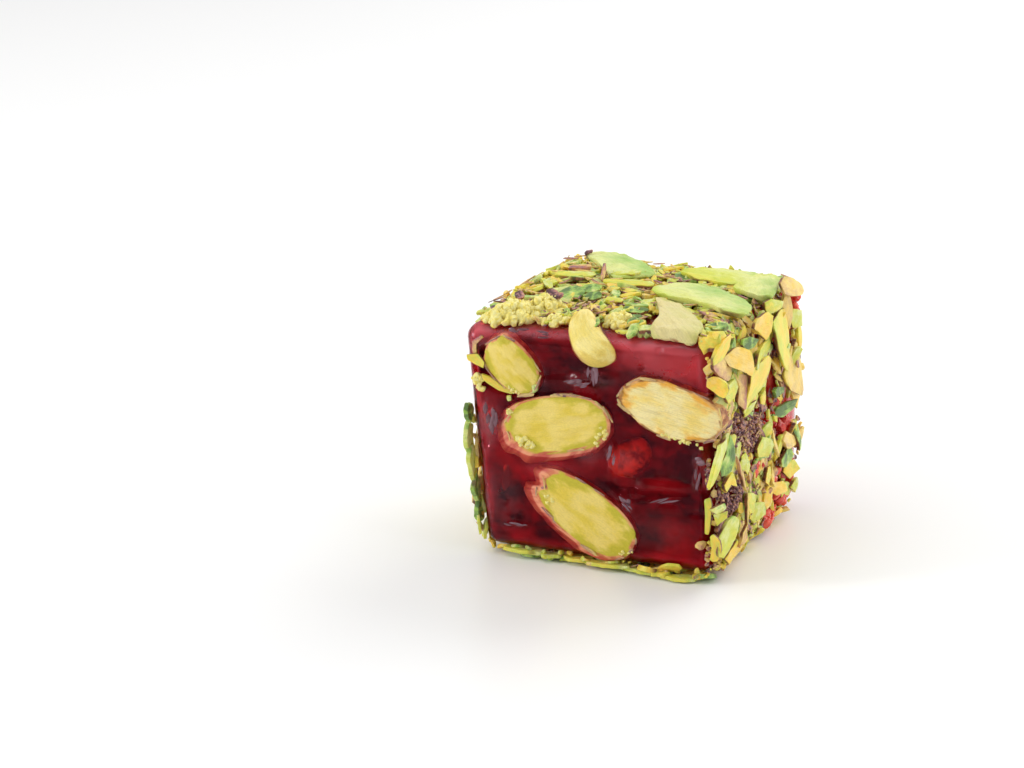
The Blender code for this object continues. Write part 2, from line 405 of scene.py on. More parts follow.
@dataclass(frozen=True)
class HeartFinish:
    """The cloudy red that the gel turns to a few millimetres in."""

    # deep is the painted shade and body the painted glow, mixed by the painted light value; pale is the
    # colour of a painted sheen.
    deep: Colour = (0.05, 0.001, 0.006)
    body: Colour = (0.92, 0.026, 0.055)
    pale: Colour = (0.9, 0.42, 0.47)
    coral: Colour = (0.98, 0.30, 0.17)

    def build(self) -> Material:
        """Builds the material: red by the painted glow and shade, paler under the painted sheen."""
        look = Look("jelly_heart")
        where = look.place()
        cloud = look.spread(look.noise(where, 190.0, 4.0, 0.6), 0.3, 0.7, -0.22, 0.22)
        wisps = look.noise(look.stretch(where, (160.0, 160.0, 520.0), (0.0, 0.35, 0.0)), 1.0, 3.0)
        cloud = look.math("ADD", cloud, look.spread(wisps, 0.3, 0.7, -0.12, 0.12))
        painted_light = look.math("ADD", look.attribute("painted_light"), cloud, clamp=True)
        veiled = look.blend(look.attribute("pale"), look.blend(painted_light, self.deep, self.body), self.pale)
        return look.dress(base_color=look.blend(look.attribute("warm"), veiled, self.coral),
                          roughness=0.7, specular_ior_level=0.0)


@dataclass(frozen=True)
class StreakedFinish:
    """Two tones streaked together: by default the grey-violet of the glints painted on the gel."""

    # By default thin and thick are the dim and the bright grey-violet of painted glints.
    thin: Colour = paint(92, 40, 50)
    thick: Colour = paint(138, 104, 116)

    def build(self, name: str = "dried_syrup") -> Material:
        """Builds the material: paler by tone, and streaked."""
        look = Look(name)
        place = look.attribute("kernel_place", "Vector")
        streaks = look.noise(look.stretch(place, (1.2, 5.0, 5.0)), 1.0, 3.0)
        tone = look.math("ADD", look.attribute("tone"), look.spread(streaks, 0.3, 0.7, -0.25, 0.25))
        return look.dress(base_color=look.blend(tone, self.thin, self.thick), roughness=0.22)


@dataclass(frozen=True)
class FleshFinish:
    """What the finishes of pistachio share: patchy skin, gloss, inner light and relief."""

    skin: Colour = paint(150, 98, 66)
    skin_dark: Colour = paint(88, 54, 48)
    patch: float = 3.4
    roughness: float = 0.52
    through: float = 0.12
    radius: Triple = (0.0012, 0.0009, 0.0003)
    relief: float = 0.00025
    strength: float = 0.7

    def cover(self, look: Look, place: Socket, colour: Socket, height: Socket) -> Material:
        """Lays skin over the flesh where the piece has it.

        Args:
            look: The material's tree.
            place: The place in the kernel.
            colour: The flesh's colour.
            height: The fibres' height.

        Returns:
            The material.
        """
        patches = look.noise(place, self.patch, 4.0, 0.6)
        skin = look.blend(look.spread(patches, 0.4, 0.62), self.skin, self.skin_dark)
        bump = look.add("ShaderNodeBump", strength=self.strength, distance=self.relief, height=height)
        return look.dress(
            base_color=look.blend(look.attribute("skin"), colour, skin), roughness=self.roughness,
            specular_ior_level=0.35, subsurface_weight=self.through,
            subsurface_radius=self.radius, subsurface_scale=1.0, normal=bump.outputs[0])


@dataclass(frozen=True)
class NutFinish(FleshFinish):
    """Cut pistachio with a thin skin where its outside shows."""

    core: Colour = paint(238, 214, 116)
    middle: Colour = paint(228, 202, 74)
    rim: Colour = paint(200, 186, 52)
    rim_start: float = 0.72
    fibre: float = 0.6

    def build(self, name: str, flesh: Nodes) -> Material:
        """Builds the material from the shared flesh group."""
        look = Look(name)
        place = look.attribute("kernel_place", "Vector")
        group = look.add("ShaderNodeGroup", {"node_tree": flesh}, place=place, core=self.core,
                         middle=self.middle, rim=self.rim, rim_start=self.rim_start,
                         fibre=self.fibre, offset=look.attribute("tone"))
        return self.cover(look, place, *group.outputs)


KERNEL_FINISH = NutFinish(
    skin=paint(240, 160, 122), skin_dark=paint(206, 92, 78), rim_start=0.74, fibre=0.2,
)
EDGE_FINISH = NutFinish(
    core=paint(244, 226, 142), middle=paint(238, 216, 112), rim=paint(226, 198, 96),
    skin=paint(214, 164, 92), skin_dark=paint(160, 104, 62), fibre=0.4,
)
SUNK_FINISH = NutFinish(
    core=paint(228, 208, 104), middle=paint(218, 198, 74), rim=paint(196, 180, 58),
    skin=paint(255, 92, 60), skin_dark=paint(128, 6, 14), rim_start=0.84, fibre=0.2, patch=1.0,
)
CRUMB_FINISH = NutFinish(
    core=paint(250, 240, 160), middle=paint(248, 230, 120), rim=paint(244, 222, 96),
    skin=paint(226, 150, 112), skin_dark=paint(186, 84, 74), rim_start=0.55, fibre=0.1, through=0.05,
)
ALMOND_FINISH = NutFinish(
    core=paint(252, 234, 168), middle=paint(250, 222, 126), rim=paint(242, 178, 66),
    skin=paint(232, 178, 108), skin_dark=paint(150, 86, 50), rim_start=0.78,
    relief=0.0005,
)


# ---- the jelly

class Side(Enum):
    """The cube's sides: the numbers of their two own axes and of the outward one, and its sign."""

    TOP = (0, 1, 2, 1)
    UNDER = (0, 1, 2, -1)
    RIGHT = (1, 2, 0, 1)
    LEFT = (1, 2, 0, -1)
    FRONT = (0, 2, 1, -1)
    BACK = (0, 2, 1, 1)


TOP, UNDER, RIGHT, LEFT, FRONT, BACK = Side


class JellyForm:
    """The soft block's form before relief: a twisted box with rounded edges."""

    corners = {
        (-1, -1, -1): (-17.4, -17.8, 1.2),
        (1, -1, -1): (17.0, -18.0, 1.2),
        (-1, 1, -1): (-17.2, 18.0, 1.2),
        (1, 1, -1): (16.8, 18.1, 1.4),
        (-1, -1, 1): (-19.8, -18.4, 33.7),
        (1, -1, 1): (16.8, -18.0, 34.3),
        (-1, 1, 1): (-18.8, 18.0, 33.9),
        (1, 1, 1): (17.3, 17.9, 33.8),
    }
    rounding = 2.3
    dome = 0.5
    places = np.array(list(corners.values()))
    middle = (places.max(0) + places.min(0)) / 2
    half = (places.max(0) - places.min(0)) / 2

    @classmethod
    def blend_corners(cls, u: Array) -> Array:
        """Gives the twisted box's point at each u, whose parts run from -1 to 1."""
        total = np.zeros((len(u), 3))
        for signs, corner in cls.corners.items():
            share = np.prod((1 + np.array(signs) * u) / 2, axis=1)
            total += share[:, None] * np.array(corner)
        return total

    @classmethod
    def surface(cls, u: Array) -> tuple[Array, Array]:
        """Places points of the cube's surface on the rounded block.

        Args:
            u: Points of the cube from -1 to 1, one a row.

        Returns:
            Points in millimetres and their outward normals.
        """
        flat = u * cls.half
        core = np.clip(flat, cls.rounding - cls.half, cls.half - cls.rounding)
        beyond = flat - core
        normal = beyond / np.maximum(np.linalg.norm(beyond, axis=1), 1e-9)[:, None]
        points = cls.blend_corners((core + normal * cls.rounding) / cls.half)
        lifted = np.maximum(u[:, 2], 0.0)
        points[:, 2] += cls.dome * (1 - u[:, 0] ** 2) * (1 - u[:, 1] ** 2) * lifted
        return points, normal

    @classmethod
    def on_side(cls, side: "Side", along: Array, up: Array, height: Array) -> Array:
        """Places points over one side as if its edges weren't rounded.

        Args:
            side: The side.
            along: Millimetres in the side's first direction.
            up: Millimetres in its second direction.
            height: Millimetres outwards from the jelly.

        Returns:
            Points in millimetres.
        """
        first, second, out, sign = side.value
        u = np.zeros((len(along), 3))
        for axis, values in ((first, along), (second, up)):
            u[:, axis] = (values - cls.middle[axis]) / cls.half[axis]
        u[:, out] = sign
        points = cls.blend_corners(np.clip(u, -1.05, 1.05))
        if side is TOP:
            points[:, 2] += cls.dome * np.clip((1 - u[:, 0] ** 2) * (1 - u[:, 1] ** 2), 0, 1)
        points[:, first], points[:, second] = along, up
        points[:, out] += sign * height
        return points

    @classmethod
    def face_y(cls, x: Array, z: Array, side: int) -> Array:
        """Finds a cut face's Y at places across and up; side is -1 in front and 1 behind."""
        u = np.c_[x / cls.half[0], np.full_like(x, side), z / cls.half[2] - 1]
        return cls.blend_corners(u)[:, 1]


def box_grid(counts: tuple[int, int, int]) -> tuple[Array, Faces]:
    """Builds a closed cube of quads.

    Args:
        counts: Number of quads along X, Y and Z.

    Returns:
        Points from -1 to 1 and the faces, which look outwards.
    """
    shape = [count + 1 for count in counts]
    inside = np.zeros(shape, bool)
    inside[1:-1, 1:-1, 1:-1] = True
    number = np.full(shape, -1)
    number[~inside] = np.arange((~inside).sum())
    points = np.argwhere(~inside) / np.array(counts) * 2 - 1
    faces = []
    for axis in range(3):
        for side in (0, counts[axis]):
            sheet = np.take(number, side, axis=axis)
            quads = np.stack([sheet[:-1, :-1], sheet[1:, :-1], sheet[1:, 1:], sheet[:-1, 1:]], -1)
            quads = quads.reshape(-1, 4)
            inward = (side == 0) != (axis == 1)
            faces += (quads[:, ::-1] if inward else quads).tolist()
    return points, faces


@dataclass(frozen=True)
class Drag:
    """A ridge or, with a negative height, a groove that the knife drew in the gel."""

    start: Pair
    end: Pair
    width: float
    height: float

    def lift(self, x: Array, z: Array) -> Array:
        """Gives how far the mark lifts the face at places across and up, in millimetres."""
        along = np.array(self.end) - np.array(self.start)
        length = np.linalg.norm(along)
        offset = np.c_[x - self.start[0], z - self.start[1]]
        t = np.clip(offset @ along / length ** 2, 0.0, 1.0)
        away = np.linalg.norm(offset - t[:, None] * along, axis=1)
        taper = np.sin(pi * (0.08 + 0.84 * t))
        return self.height * taper * np.exp(-(away / self.width) ** 2)


@dataclass(frozen=True)
class KernelForm:
    """A kernel set in a cut face. Sizes are in millimetres on the face and angles in degrees."""

    node: str
    long: float
    wide: float
    tilt: float
    bend: float
    full: float
    taper: float
    side: int = -1
    flare: Pair = (0.0, 0.0)
    meniscus: float = 0.35
    chips: tuple[Triple, ...] = ()
    torn: float = 0.1
    dome: float = 0.12
    proud: float = 0.4
    collar: float = 1.0
    seed: int = 0

    def centre(self, block: Block) -> Pair:
        """Finds the kernel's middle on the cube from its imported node."""
        low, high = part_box(self.node)
        middle = (low + high) / 2 / MM
        return middle.x - block.shift_x, middle.z

    def reach(self, turn: Array) -> Array:
        """Gives the rim's distance from the middle at each angle, 1 for a plain ellipse."""
        rim = sum(np.abs(way(turn)) ** self.full for way in (np.cos, np.sin)) ** (-1 / self.full)
        for angle, spread, depth in self.chips:
            gap = (np.degrees(turn) - angle + 180) % 360 - 180
            rim = rim * (1 - depth * np.exp(-(gap / spread) ** 2))
        ring = np.c_[np.cos(turn), np.sin(turn), np.zeros_like(turn)]
        rough = waver(ring, 0.22, self.seed) * 0.012 + waver(ring, 0.08, self.seed) * 0.008
        return rim * (1 + rough * (0.6 + 4 * self.torn))

    def on_face(self, a: Array, b: Array) -> tuple[Array, Array]:
        """Bends, tapers and turns places in the kernel into offsets across and up."""
        x = a * self.long
        z = b * self.wide * (1 - self.taper * a) + self.bend * self.wide * (1 - a * a)
        return turned(x, z, self.tilt)

    def rim_points(self, block: Block, count: int = 120) -> Array:
        """Lists places on the rim, across and up the face."""
        turn = np.arange(count) * TAU / count
        rim = self.reach(turn)
        across, up = self.on_face(rim * np.cos(turn), rim * np.sin(turn))
        x, z = self.centre(block)
        # Behind, the kernel faces the other way, which mirrors it left to right.
        return np.c_[x - self.side * across, z + up]


FRONT_KERNELS = (
    KernelForm("kernel_front_1", 4.6, 3.25, -42, 0.03, 2.4, 0.04, flare=(-0.2, 0), meniscus=0.15,
        chips=((205, 22, 0.06), (160, 14, 0.05)), torn=0.14, dome=0.7, collar=0.5, seed=1),
    KernelForm("kernel_front_2", 7.95, 4.1, 12, 0.02, 2.6, 0.05, flare=(-1.2, -1.25), chips=((222, 16,
        0.08), (152, 12, 0.05), (35, 18, 0.04)), torn=0.12, seed=2),
    KernelForm("kernel_front_3", 7.6, 3.9, -10.5, 0.04, 2.2, 0.05, flare=(-0.35, -0.1), meniscus=0.2,
        chips=((222, 22, 0.12), (300, 12, 0.04)), torn=0.3, collar=0.15, seed=3),
    KernelForm("kernel_front_4", 8.15, 4.15, -32, -0.03, 2.5, -0.05, flare=(-1.45, -0.2), chips=((186, 11,
        0.17), (160, 10, 0.04), (232, 14, 0.05)), torn=0.12, seed=4),
)
BACK_KERNELS = (
    KernelForm("kernel_back_1", 7.9, 4.1, 24, 0.05, 2.3, 0.05, side=1, flare=(0.5, -0.7), seed=5,
        chips=((200, 14, 0.08),), collar=0.7),
    KernelForm("kernel_back_2", 7.4, 3.5, -28, -0.06, 2.1, 0.12, side=1, flare=(-0.4, -0.6), seed=6,
        collar=0.7),
    KernelForm("kernel_back_3", 8.2, 4.2, 9, 0.04, 2.4, -0.06, side=1, flare=(0.5, -0.8), seed=7,
        chips=((130, 12, 0.09),), collar=0.6),
    KernelForm("kernel_back_4", 7.9, 4, -47, 0.03, 2.3, 0.08, side=1, flare=(0.7, 0.3), seed=8,
        collar=0.8),
    KernelForm("kernel_back_5", 4.6, 2.9, 18, 0.1, 2.1, 0, side=1, flare=(0.6, -0.5), seed=9),
)

# Places on the front face where painted light makes the gel's heart brighter or, with a negative strength,
# painted shade makes it darker, and where a painted sheen lies on it and the heart lies near the surface:
# across, up, reach across, reach up and strength.
GEL_PAINTED_LIGHT = (
    (4.8, 16.6, 2.4, 1.9, 0.95), (3.4, 14.6, 1.6, 1.4, 0.35), (-17.6, 14, 0.8, 6, 0.25),
    (-6.5, 13.8, 4.6, 1.8, 0.3), (14, 7.6, 3.6, 2, -0.05), (8.9, 3, 4.2, 1.3, 0.55),
    (-6, 1.6, 7, 1.2, 0.25), (15.6, 17, 1.4, 2.6, 0.2), (17.4, 32.6, 1.2, 3, 0.6), (8.6, 32.8, 7, 2.6, 0.5),
    (-18.2, 24.6, 1, 4, 0.25), (-10.4, 34.4, 7, 1.4, 0.3), (16.6, 24, 0.9, 6, 0.3),
    (0.9, 37, 2.8, 2.4, 0.7), (2.2, 31, 1.2, 3, 0.3), (12.1, 12.2, 4, 1.6, -0.3),
    (10.4, 14.8, 4.4, 1, -0.3), (13.6, 18.2, 3, 2.4, -0.15), (-13.6, 7.4, 3.2, 5, -0.3),
    (-2.4, 28.6, 3.4, 1.6, -0.3), (-5.6, 31.6, 1.8, 2.4, -0.2), (1.2, 12.4, 1.6, 3.4, -0.25),
    (-17.2, 28.6, 1.6, 3.4, -0.35), (-12.6, 25, 3.6, 0.9, -0.3), (9.4, 7.8, 3.2, 1.6, -0.2),
    (8.2, 28.6, 5, 0.9, -0.2), (0.9, 22.4, 1.4, 2.2, -0.25),
)
GEL_PAINTED_SHEENS = (
    (6.8, 32.6, 4.6, 3.6, 0.95), (13.2, 31.2, 4.6, 3.2, 0.95), (-17.2, 33.4, 2.6, 2, 0.9),
    (-18.6, 29, 0.8, 3.4, 0.5), (-15.8, 20.4, 1.3, 2.6, 0.6), (-9.4, 34.6, 4.4, 1.2, 0.6),
    (-16.6, 16.6, 1.2, 2, 0.4), (9.8, 29.8, 3.6, 1.2, 0.5), (0.2, 28, 2.4, 0.7, 0.3),
    (-0.9, 16.9, 1.6, 1.4, 0.35), (-16.4, 9, 0.9, 4, 0.3), (-7.2, 13.6, 3.6, 1.2, 0.3),
    (9.6, 7.2, 3.6, 1.2, 0.22), (5.2, 16.4, 0.9, 0.8, 0.25), (16.2, 15.8, 0.6, 2, 0.3),
)
# Where the gel shines greyly, and where small wrinkles catch the light.
GEL_SHEENS = (
    (10.5, 31.4, 6.5, 3.6, 0.9), (-15.4, 20.2, 1.5, 2.8, 1), (-16.6, 31.8, 2.4, 3.2, 0.7),
    (-14.6, 8.4, 2.4, 5.2, 0.7), (-0.9, 16.9, 1.8, 1.6, 0.8), (9.6, 6.8, 4.2, 2.4, 0.5),
    (-0.4, 27.9, 3.4, 1.2, 1), (15.6, 17.6, 0.9, 1.8, 1), (4.7, 10.3, 1, 1, 1), (-9, 34, 11, 1.8, 0.7),
    (-6.4, 14, 3.6, 1.2, 0.5), (4.4, 17, 1.8, 1.6, 0.8), (9, 34.4, 11, 1.6, 0.8),
)
GEL_WRINKLES = (
    (-0.6, 27.8, 2.8, 1, 1), (0.6, 28.6, 0.8, 1.4, 1), (-15.5, 20.8, 1.3, 2, 0.8),
    (15.6, 17.8, 0.8, 0.9, 1), (15.3, 14.8, 0.6, 1.2, 0.9), (4.6, 10.4, 0.8, 1.3, 1),
    (4.2, 16.8, 2.4, 2, 0.9), (-12.4, 5.6, 1.8, 0.8, 0.4), (-2.5, 18.3, 1.2, 0.5, 0.5),
    (2.6, 13.6, 1, 1.6, 0.5),
)

# Hollows in the front face: across, up, reach across, reach up and depth. The first is the torn
# pocket beside the upper left kernel; the small ones are burst bubbles.
FRONT_PITS = (
    (-15.6, 28.2, 2.7, 3.4, 1.3), (-13.6, 25.2, 2.4, 1, 0.7), (9.8, 33, 0.5, 0.45, 0.4),
    (7.2, 30.4, 0.6, 0.55, 0.55), (-13.6, 8.1, 0.6, 0.5, 0.4), (4.2, 13.4, 3.2, 1.4, 0.45),
    (10.8, 14.4, 4, 0.9, 0.35), (15.2, 10.2, 1.6, 0.7, 0.35), (-16.4, 17, 0.8, 1.2, 0.3),
)

FRONT_DRAGS = tuple(Drag(*row) for row in (
    ((-9, 26.6), (5.4, 28.8), 0.7, 0.35), ((0.2, 28.4), (0.9, 25.8), 0.35, 0.22),
    ((-2.6, 27.4), (-2.2, 25.6), 0.4, 0.18), ((2.9, 19.4), (3.5, 15.8), 0.3, 0.3),
    ((0.8, 18.8), (2.2, 14.2), 0.9, -0.35), ((16.2, 18.4), (15.2, 14.4), 0.4, 0.3),
    ((2.6, 11.8), (6.4, 9.6), 0.5, 0.3), ((5.2, 10.6), (12.8, 12.6), 0.24, 0.2),
    ((6.6, 13.4), (15.2, 14.2), 0.35, 0.16), ((6, 12.6), (14.6, 13.2), 0.5, -0.3),
    ((8, 9.6), (14, 10.8), 0.8, 0.2), ((-15.9, 23.4), (-15.7, 18), 1, 0.3),
    ((-14, 14), (-12.8, 4), 1.6, -0.3),
))
BACK_DRAGS = tuple(Drag(*row) for row in (
    ((-13, 19), (-2, 20), 0.7, 0.3), ((0, 21), (12, 21.6), 0.5, -0.3), ((-14, 30.5), (2, 31.5), 0.6, 0.25),
    ((1, 11), (-3, 18), 0.5, 0.25), ((10, 8), (14, 6), 0.7, 0.3),
))


@dataclass(frozen=True)
class Jelly:
    """The dark red block, cut in front and behind, with gel drawn up round each kernel."""

    block: Block
    kernels: Sequence[KernelForm]
    finish: JellyFinish = JellyFinish()
    heart: HeartFinish = HeartFinish()
    counts: tuple[int, int, int] = (168, 30, 162)
    heart_counts: tuple[int, int, int] = (104, 40, 100)

    def cut_relief(self, x: Array, z: Array, side: int) -> Array:
        """Gives how far a cut face stands out of its plane.

        Args:
            x: Places across, in millimetres.
            z: Places up.
            side: -1 in front and 1 behind.

        Returns:
            Millimetres outwards.
        """
        at = np.c_[x, np.full_like(x, side * 9.0), z]
        lift = 0.2 * waver(at, 9.0, 3) + 0.12 * waver(at, 3.4, 4)
        lift += 0.035 * waver(at * np.array([1.0, 1.0, 2.2]), 1.6, 5)
        for across, up, wide, high, depth in FRONT_PITS if side < 0 else ():
            away = np.sqrt(((x - across) / wide) ** 2 + ((z - up) / high) ** 2)
            lift -= depth * (1 - ease(away, 0.5, 1.0))
        for drag in FRONT_DRAGS if side < 0 else BACK_DRAGS:
            lift += drag.lift(x, z)
        here = np.c_[x, z]
        for kernel in self.kernels:
            if kernel.side != side:
                continue
            rim = kernel.rim_points(self.block)
            away = np.full(len(x), 99.0)
            toward = np.zeros(len(x))
            middle = np.array(kernel.centre(self.block))
            near = np.linalg.norm(here - middle, axis=1) < kernel.long + 5
            away[near] = np.linalg.norm(here[near][:, None] - rim, axis=2).min(axis=1)
            out = here[near] - middle
            flare = np.array(kernel.flare)
            reach = np.linalg.norm(out, axis=1) * max(np.linalg.norm(flare), 1e-6)
            toward[near] = (out @ flare) / reach
            ring = 0.5 - 0.35 * toward
            lift += kernel.meniscus * ring * np.exp(-(away / 0.9) ** 2)
            lift -= 0.25 * ring * np.exp(-((away - 0.5) / 0.35) ** 2)
        return lift

    def build(self) -> Piece:
        """Builds, dresses and settles the block."""
        u, faces = box_grid(self.counts)
        points, normals = JellyForm.surface(u)
        lift = 0.1 * waver(points, 9.0, 1) + 0.05 * waver(points, 3.0, 2)
        for side in (-1, 1):
            facing = ease(side * normals[:, 1], 0.55, 0.98)
            x, z = points[:, 0], points[:, 2]
            lift = lift * (1 - facing) + facing * self.cut_relief(x, z, side)
        points = points + normals * lift[:, None]
        painted = {"sheen": self.blobs(points, GEL_SHEENS, 0.0, 0.2),
                   "wrinkle": self.blobs(points, GEL_WRINKLES, 0.03, 0.05)}
        return settle(new_object("jelly_block", self.block.metres(points), faces,
                                 self.finish.build(), painted), "red_jelly", ["jelly"])

    def build_heart(self) -> Piece:
        """Builds the cloudy heart, whose uneven surface lies a few millimetres in."""
        u, faces = box_grid(self.heart_counts)
        points, normals = JellyForm.surface(u)
        x, y, z = points.T
        # The first value paints light and shade into the heart's colour and the second paints a sheen over
        # it; away from the front face both grow towards the top and more on the rear of the right side.
        painted_light = self.blobs(points, GEL_PAINTED_LIGHT, 0.3, 0.35, 0.7)
        pale = self.blobs(points, GEL_PAINTED_SHEENS, 0.0, 0.15, 0.1)
        within = np.minimum(15.8 - np.abs(x), 15.2 - np.abs(z - 17.6))
        open_face = ease(within, -1.0, 2.5) * ease(np.abs(normals[:, 1]), 0.9, 0.99)
        deep = 2.5 + 1.2 * waver(points, 6.0, 51) + 0.6 * waver(points, 2.2, 52)
        deep += 0.25 * waver(points, 0.9, 53) - 1.7 * pale
        depth = 0.85 + (np.clip(deep, 0.55, 4.4) - 0.85) * open_face
        points = points - normals * depth[:, None]
        warm = ease(x, 8.0, 13.0) * ease(y, -4.0, 4.0)
        warm = warm * ease(waver(points, 3.6, 55), -0.6, 0.5)
        painted = {"painted_light": painted_light, "pale": pale, "warm": warm}
        return settle(new_object("jelly_heart", self.block.metres(points), faces,
                                 self.heart.build(), painted), "red_jelly")

    @staticmethod
    def blobs(points: Array, spots: Sequence[tuple], front: float, elsewhere: float,
              flank: float = 0.0) -> Array:
        """Paints soft spots on the front face, and a cloudy value on the other sides.

        Args:
            points: Points of the jelly in millimetres.
            spots: Across, up, reach across, reach up and strength of each spot.
            front: The value between the spots.
            elsewhere: The value behind and at the sides.
            flank: What the rear half of the right side has more.

        Returns:
            One number from 0 to 1 for each point.
        """
        x, y, z = points.T
        shown = np.full(len(points), front) * (1 + 0.4 * waver(points, 5.0, 33))
        for across, up, wide, high, strength in spots:
            away = ((x - across) / wide) ** 2 + ((z - up) / high) ** 2
            shown += strength * np.exp(-away ** 1.3)
        cloud = 1 + 0.5 * waver(points, 6.0, 31)
        facing = ease(-y, 12.0, 16.5)
        flank = ease(x, 12.0, 16.0) * ease(y, -3.0, 5.0) * flank
        upper = ease(z, 26.0, 33.0) * 0.15
        return np.clip(facing * shown + (1 - facing) * (elsewhere + upper + flank) * cloud, 0.0, 1.0)


@dataclass(frozen=True)
class KernelMaker:
    """Makes a kernel: its cut face, chipped rim and the flank that follows the jelly's relief."""

    jelly: Jelly
    around: int = 112
    face_rings: int = 20
    flank: int = 12
    half_thickness: float = 4.0
    widest_depth: float = 1.4

    def section(self, depth: float) -> float:
        """Gives the kernel's size at a depth, 1 where it is widest."""
        part = (depth - self.widest_depth) / self.half_thickness
        return sqrt(max(0.0016, 1 - part * part))

    def rings(self, form: KernelForm) -> tuple[Array, Array, Array]:
        """Lists the kernel's points from the middle of its cut face to its deepest one.

        Args:
            form: Its form.

        Returns:
            Places in its own plane, depths under the jelly's face, and how far skin covers each.
        """
        turn = np.arange(self.around) * TAU / self.around
        rim = form.reach(turn)
        a_rim, b_rim = rim * np.cos(turn), rim * np.sin(turn)
        rows, depths, skins = [], [], []
        for k in range(1, self.face_rings + 1):
            s = 1 - (1 - k / self.face_rings) ** 1.35
            rows.append(np.c_[a_rim * s, b_rim * s])
            at = np.c_[a_rim * s * form.long / 3, b_rim * s * form.wide, b_rim * 0]
            rough = 0.1 * waver(at, 0.9, form.seed + 20) + 0.05 * waver(at, 0.3, form.seed)
            sunk = 0.16 * max(0.0, (s - 0.95) / 0.05) ** 2
            height = form.proud + form.dome * (1 - s * s) + rough * (0.5 + 5 * form.torn) - sunk
            depths.append(-height)
            edge = waver(at, 0.7, form.seed + 40) + 0.35
            skins.append(ease(edge, 0.0, 0.2) * (s > 0.955) * 0.85)
        deepest = self.widest_depth + self.half_thickness
        for part in np.arange(self.flank) / (self.flank - 1):
            depth = -0.06 + (deepest + 0.06) * part ** 2.2
            size = self.section(depth) / self.section(-form.proud)
            size = 1 + (size - 1) * form.collar if size > 1 else size
            rows.append(np.c_[a_rim * size, b_rim * size])
            depths.append(np.full(self.around, depth))
            skins.append(np.ones(self.around))
        return (np.concatenate([np.zeros((1, 2)), *rows, np.zeros((1, 2))]),
                np.concatenate([[-form.proud - form.dome], *depths, [deepest]]),
                np.concatenate([[0.0], *skins, [1.0]]))

    def build(self, form: KernelForm, finish: Material) -> Piece:
        """Builds and settles one kernel.

        Args:
            form: Its form.
            finish: Its material.

        Returns:
            The piece.
        """
        ab, depth, skin = self.rings(form)
        across, up = form.on_face(*ab.T)
        way = np.arctan2(ab[:, 1], ab[:, 0])
        ring = np.c_[np.cos(way), np.sin(way), depth * 0.4]
        slide = ease(depth, -0.2, 0.22) * (1 + 0.35 * waver(ring, 0.35, form.seed + 60))
        across = across + form.flare[0] * slide
        up = up + form.flare[1] * slide
        x, z = form.centre(self.jelly.block)
        xs, zs = x - form.side * across, z + up
        sunk = ease(depth, -0.3, -0.05) * (1 - ease(depth, 0.5, 1.5))
        relief = self.jelly.cut_relief(xs, zs, form.side) * sunk
        ys = JellyForm.face_y(xs, zs, form.side) - form.side * (depth - relief)
        place = np.c_[ab[:, 0], (depth - self.widest_depth) / self.half_thickness * 0.5, ab[:, 1]]
        values = {"kernel_place": place, "skin": skin, "tone": np.full(len(ab), form.seed * 0.37)}
        faces = closed_faces(self.face_rings + self.flank, self.around, True)
        _, where, number = form.node.split("_")
        made = joined(f"{where}_kernel_{number}", self.jelly.block,
                      [(np.c_[xs, ys, zs], faces, values)], finish)
        return settle(made, "cut_kernel", [form.node])


def face_outwards(piece: Piece) -> None:
    """Turns a closed piece's faces outwards."""
    bm = bmesh.new()
    bm.from_mesh(piece.data)
    bmesh.ops.recalc_face_normals(bm, faces=bm.faces)
    bm.to_mesh(piece.data)
    bm.free()


def joined(name: str, block: Block, shapes: Sequence[Shaped], finish: Material,
           crisp: float | None = None) -> Piece:
    """Joins closed meshes into one object whose faces look outwards.

    Args:
        name: The piece's name.
        block: The cube's measure.
        shapes: The meshes, in millimetres on the cube.
        finish: Their material.
        crisp: Degrees past which an edge is sharp, if any is.

    Returns:
        The object.
    """
    points, faces, values = join_meshes(shapes)
    made = new_object(name, block.metres(points), faces, finish, values)
    face_outwards(made)
    if crisp:
        made.data.set_sharp_from_angle(angle=radians(crisp))
    return made


# ---- flat pieces of kernel

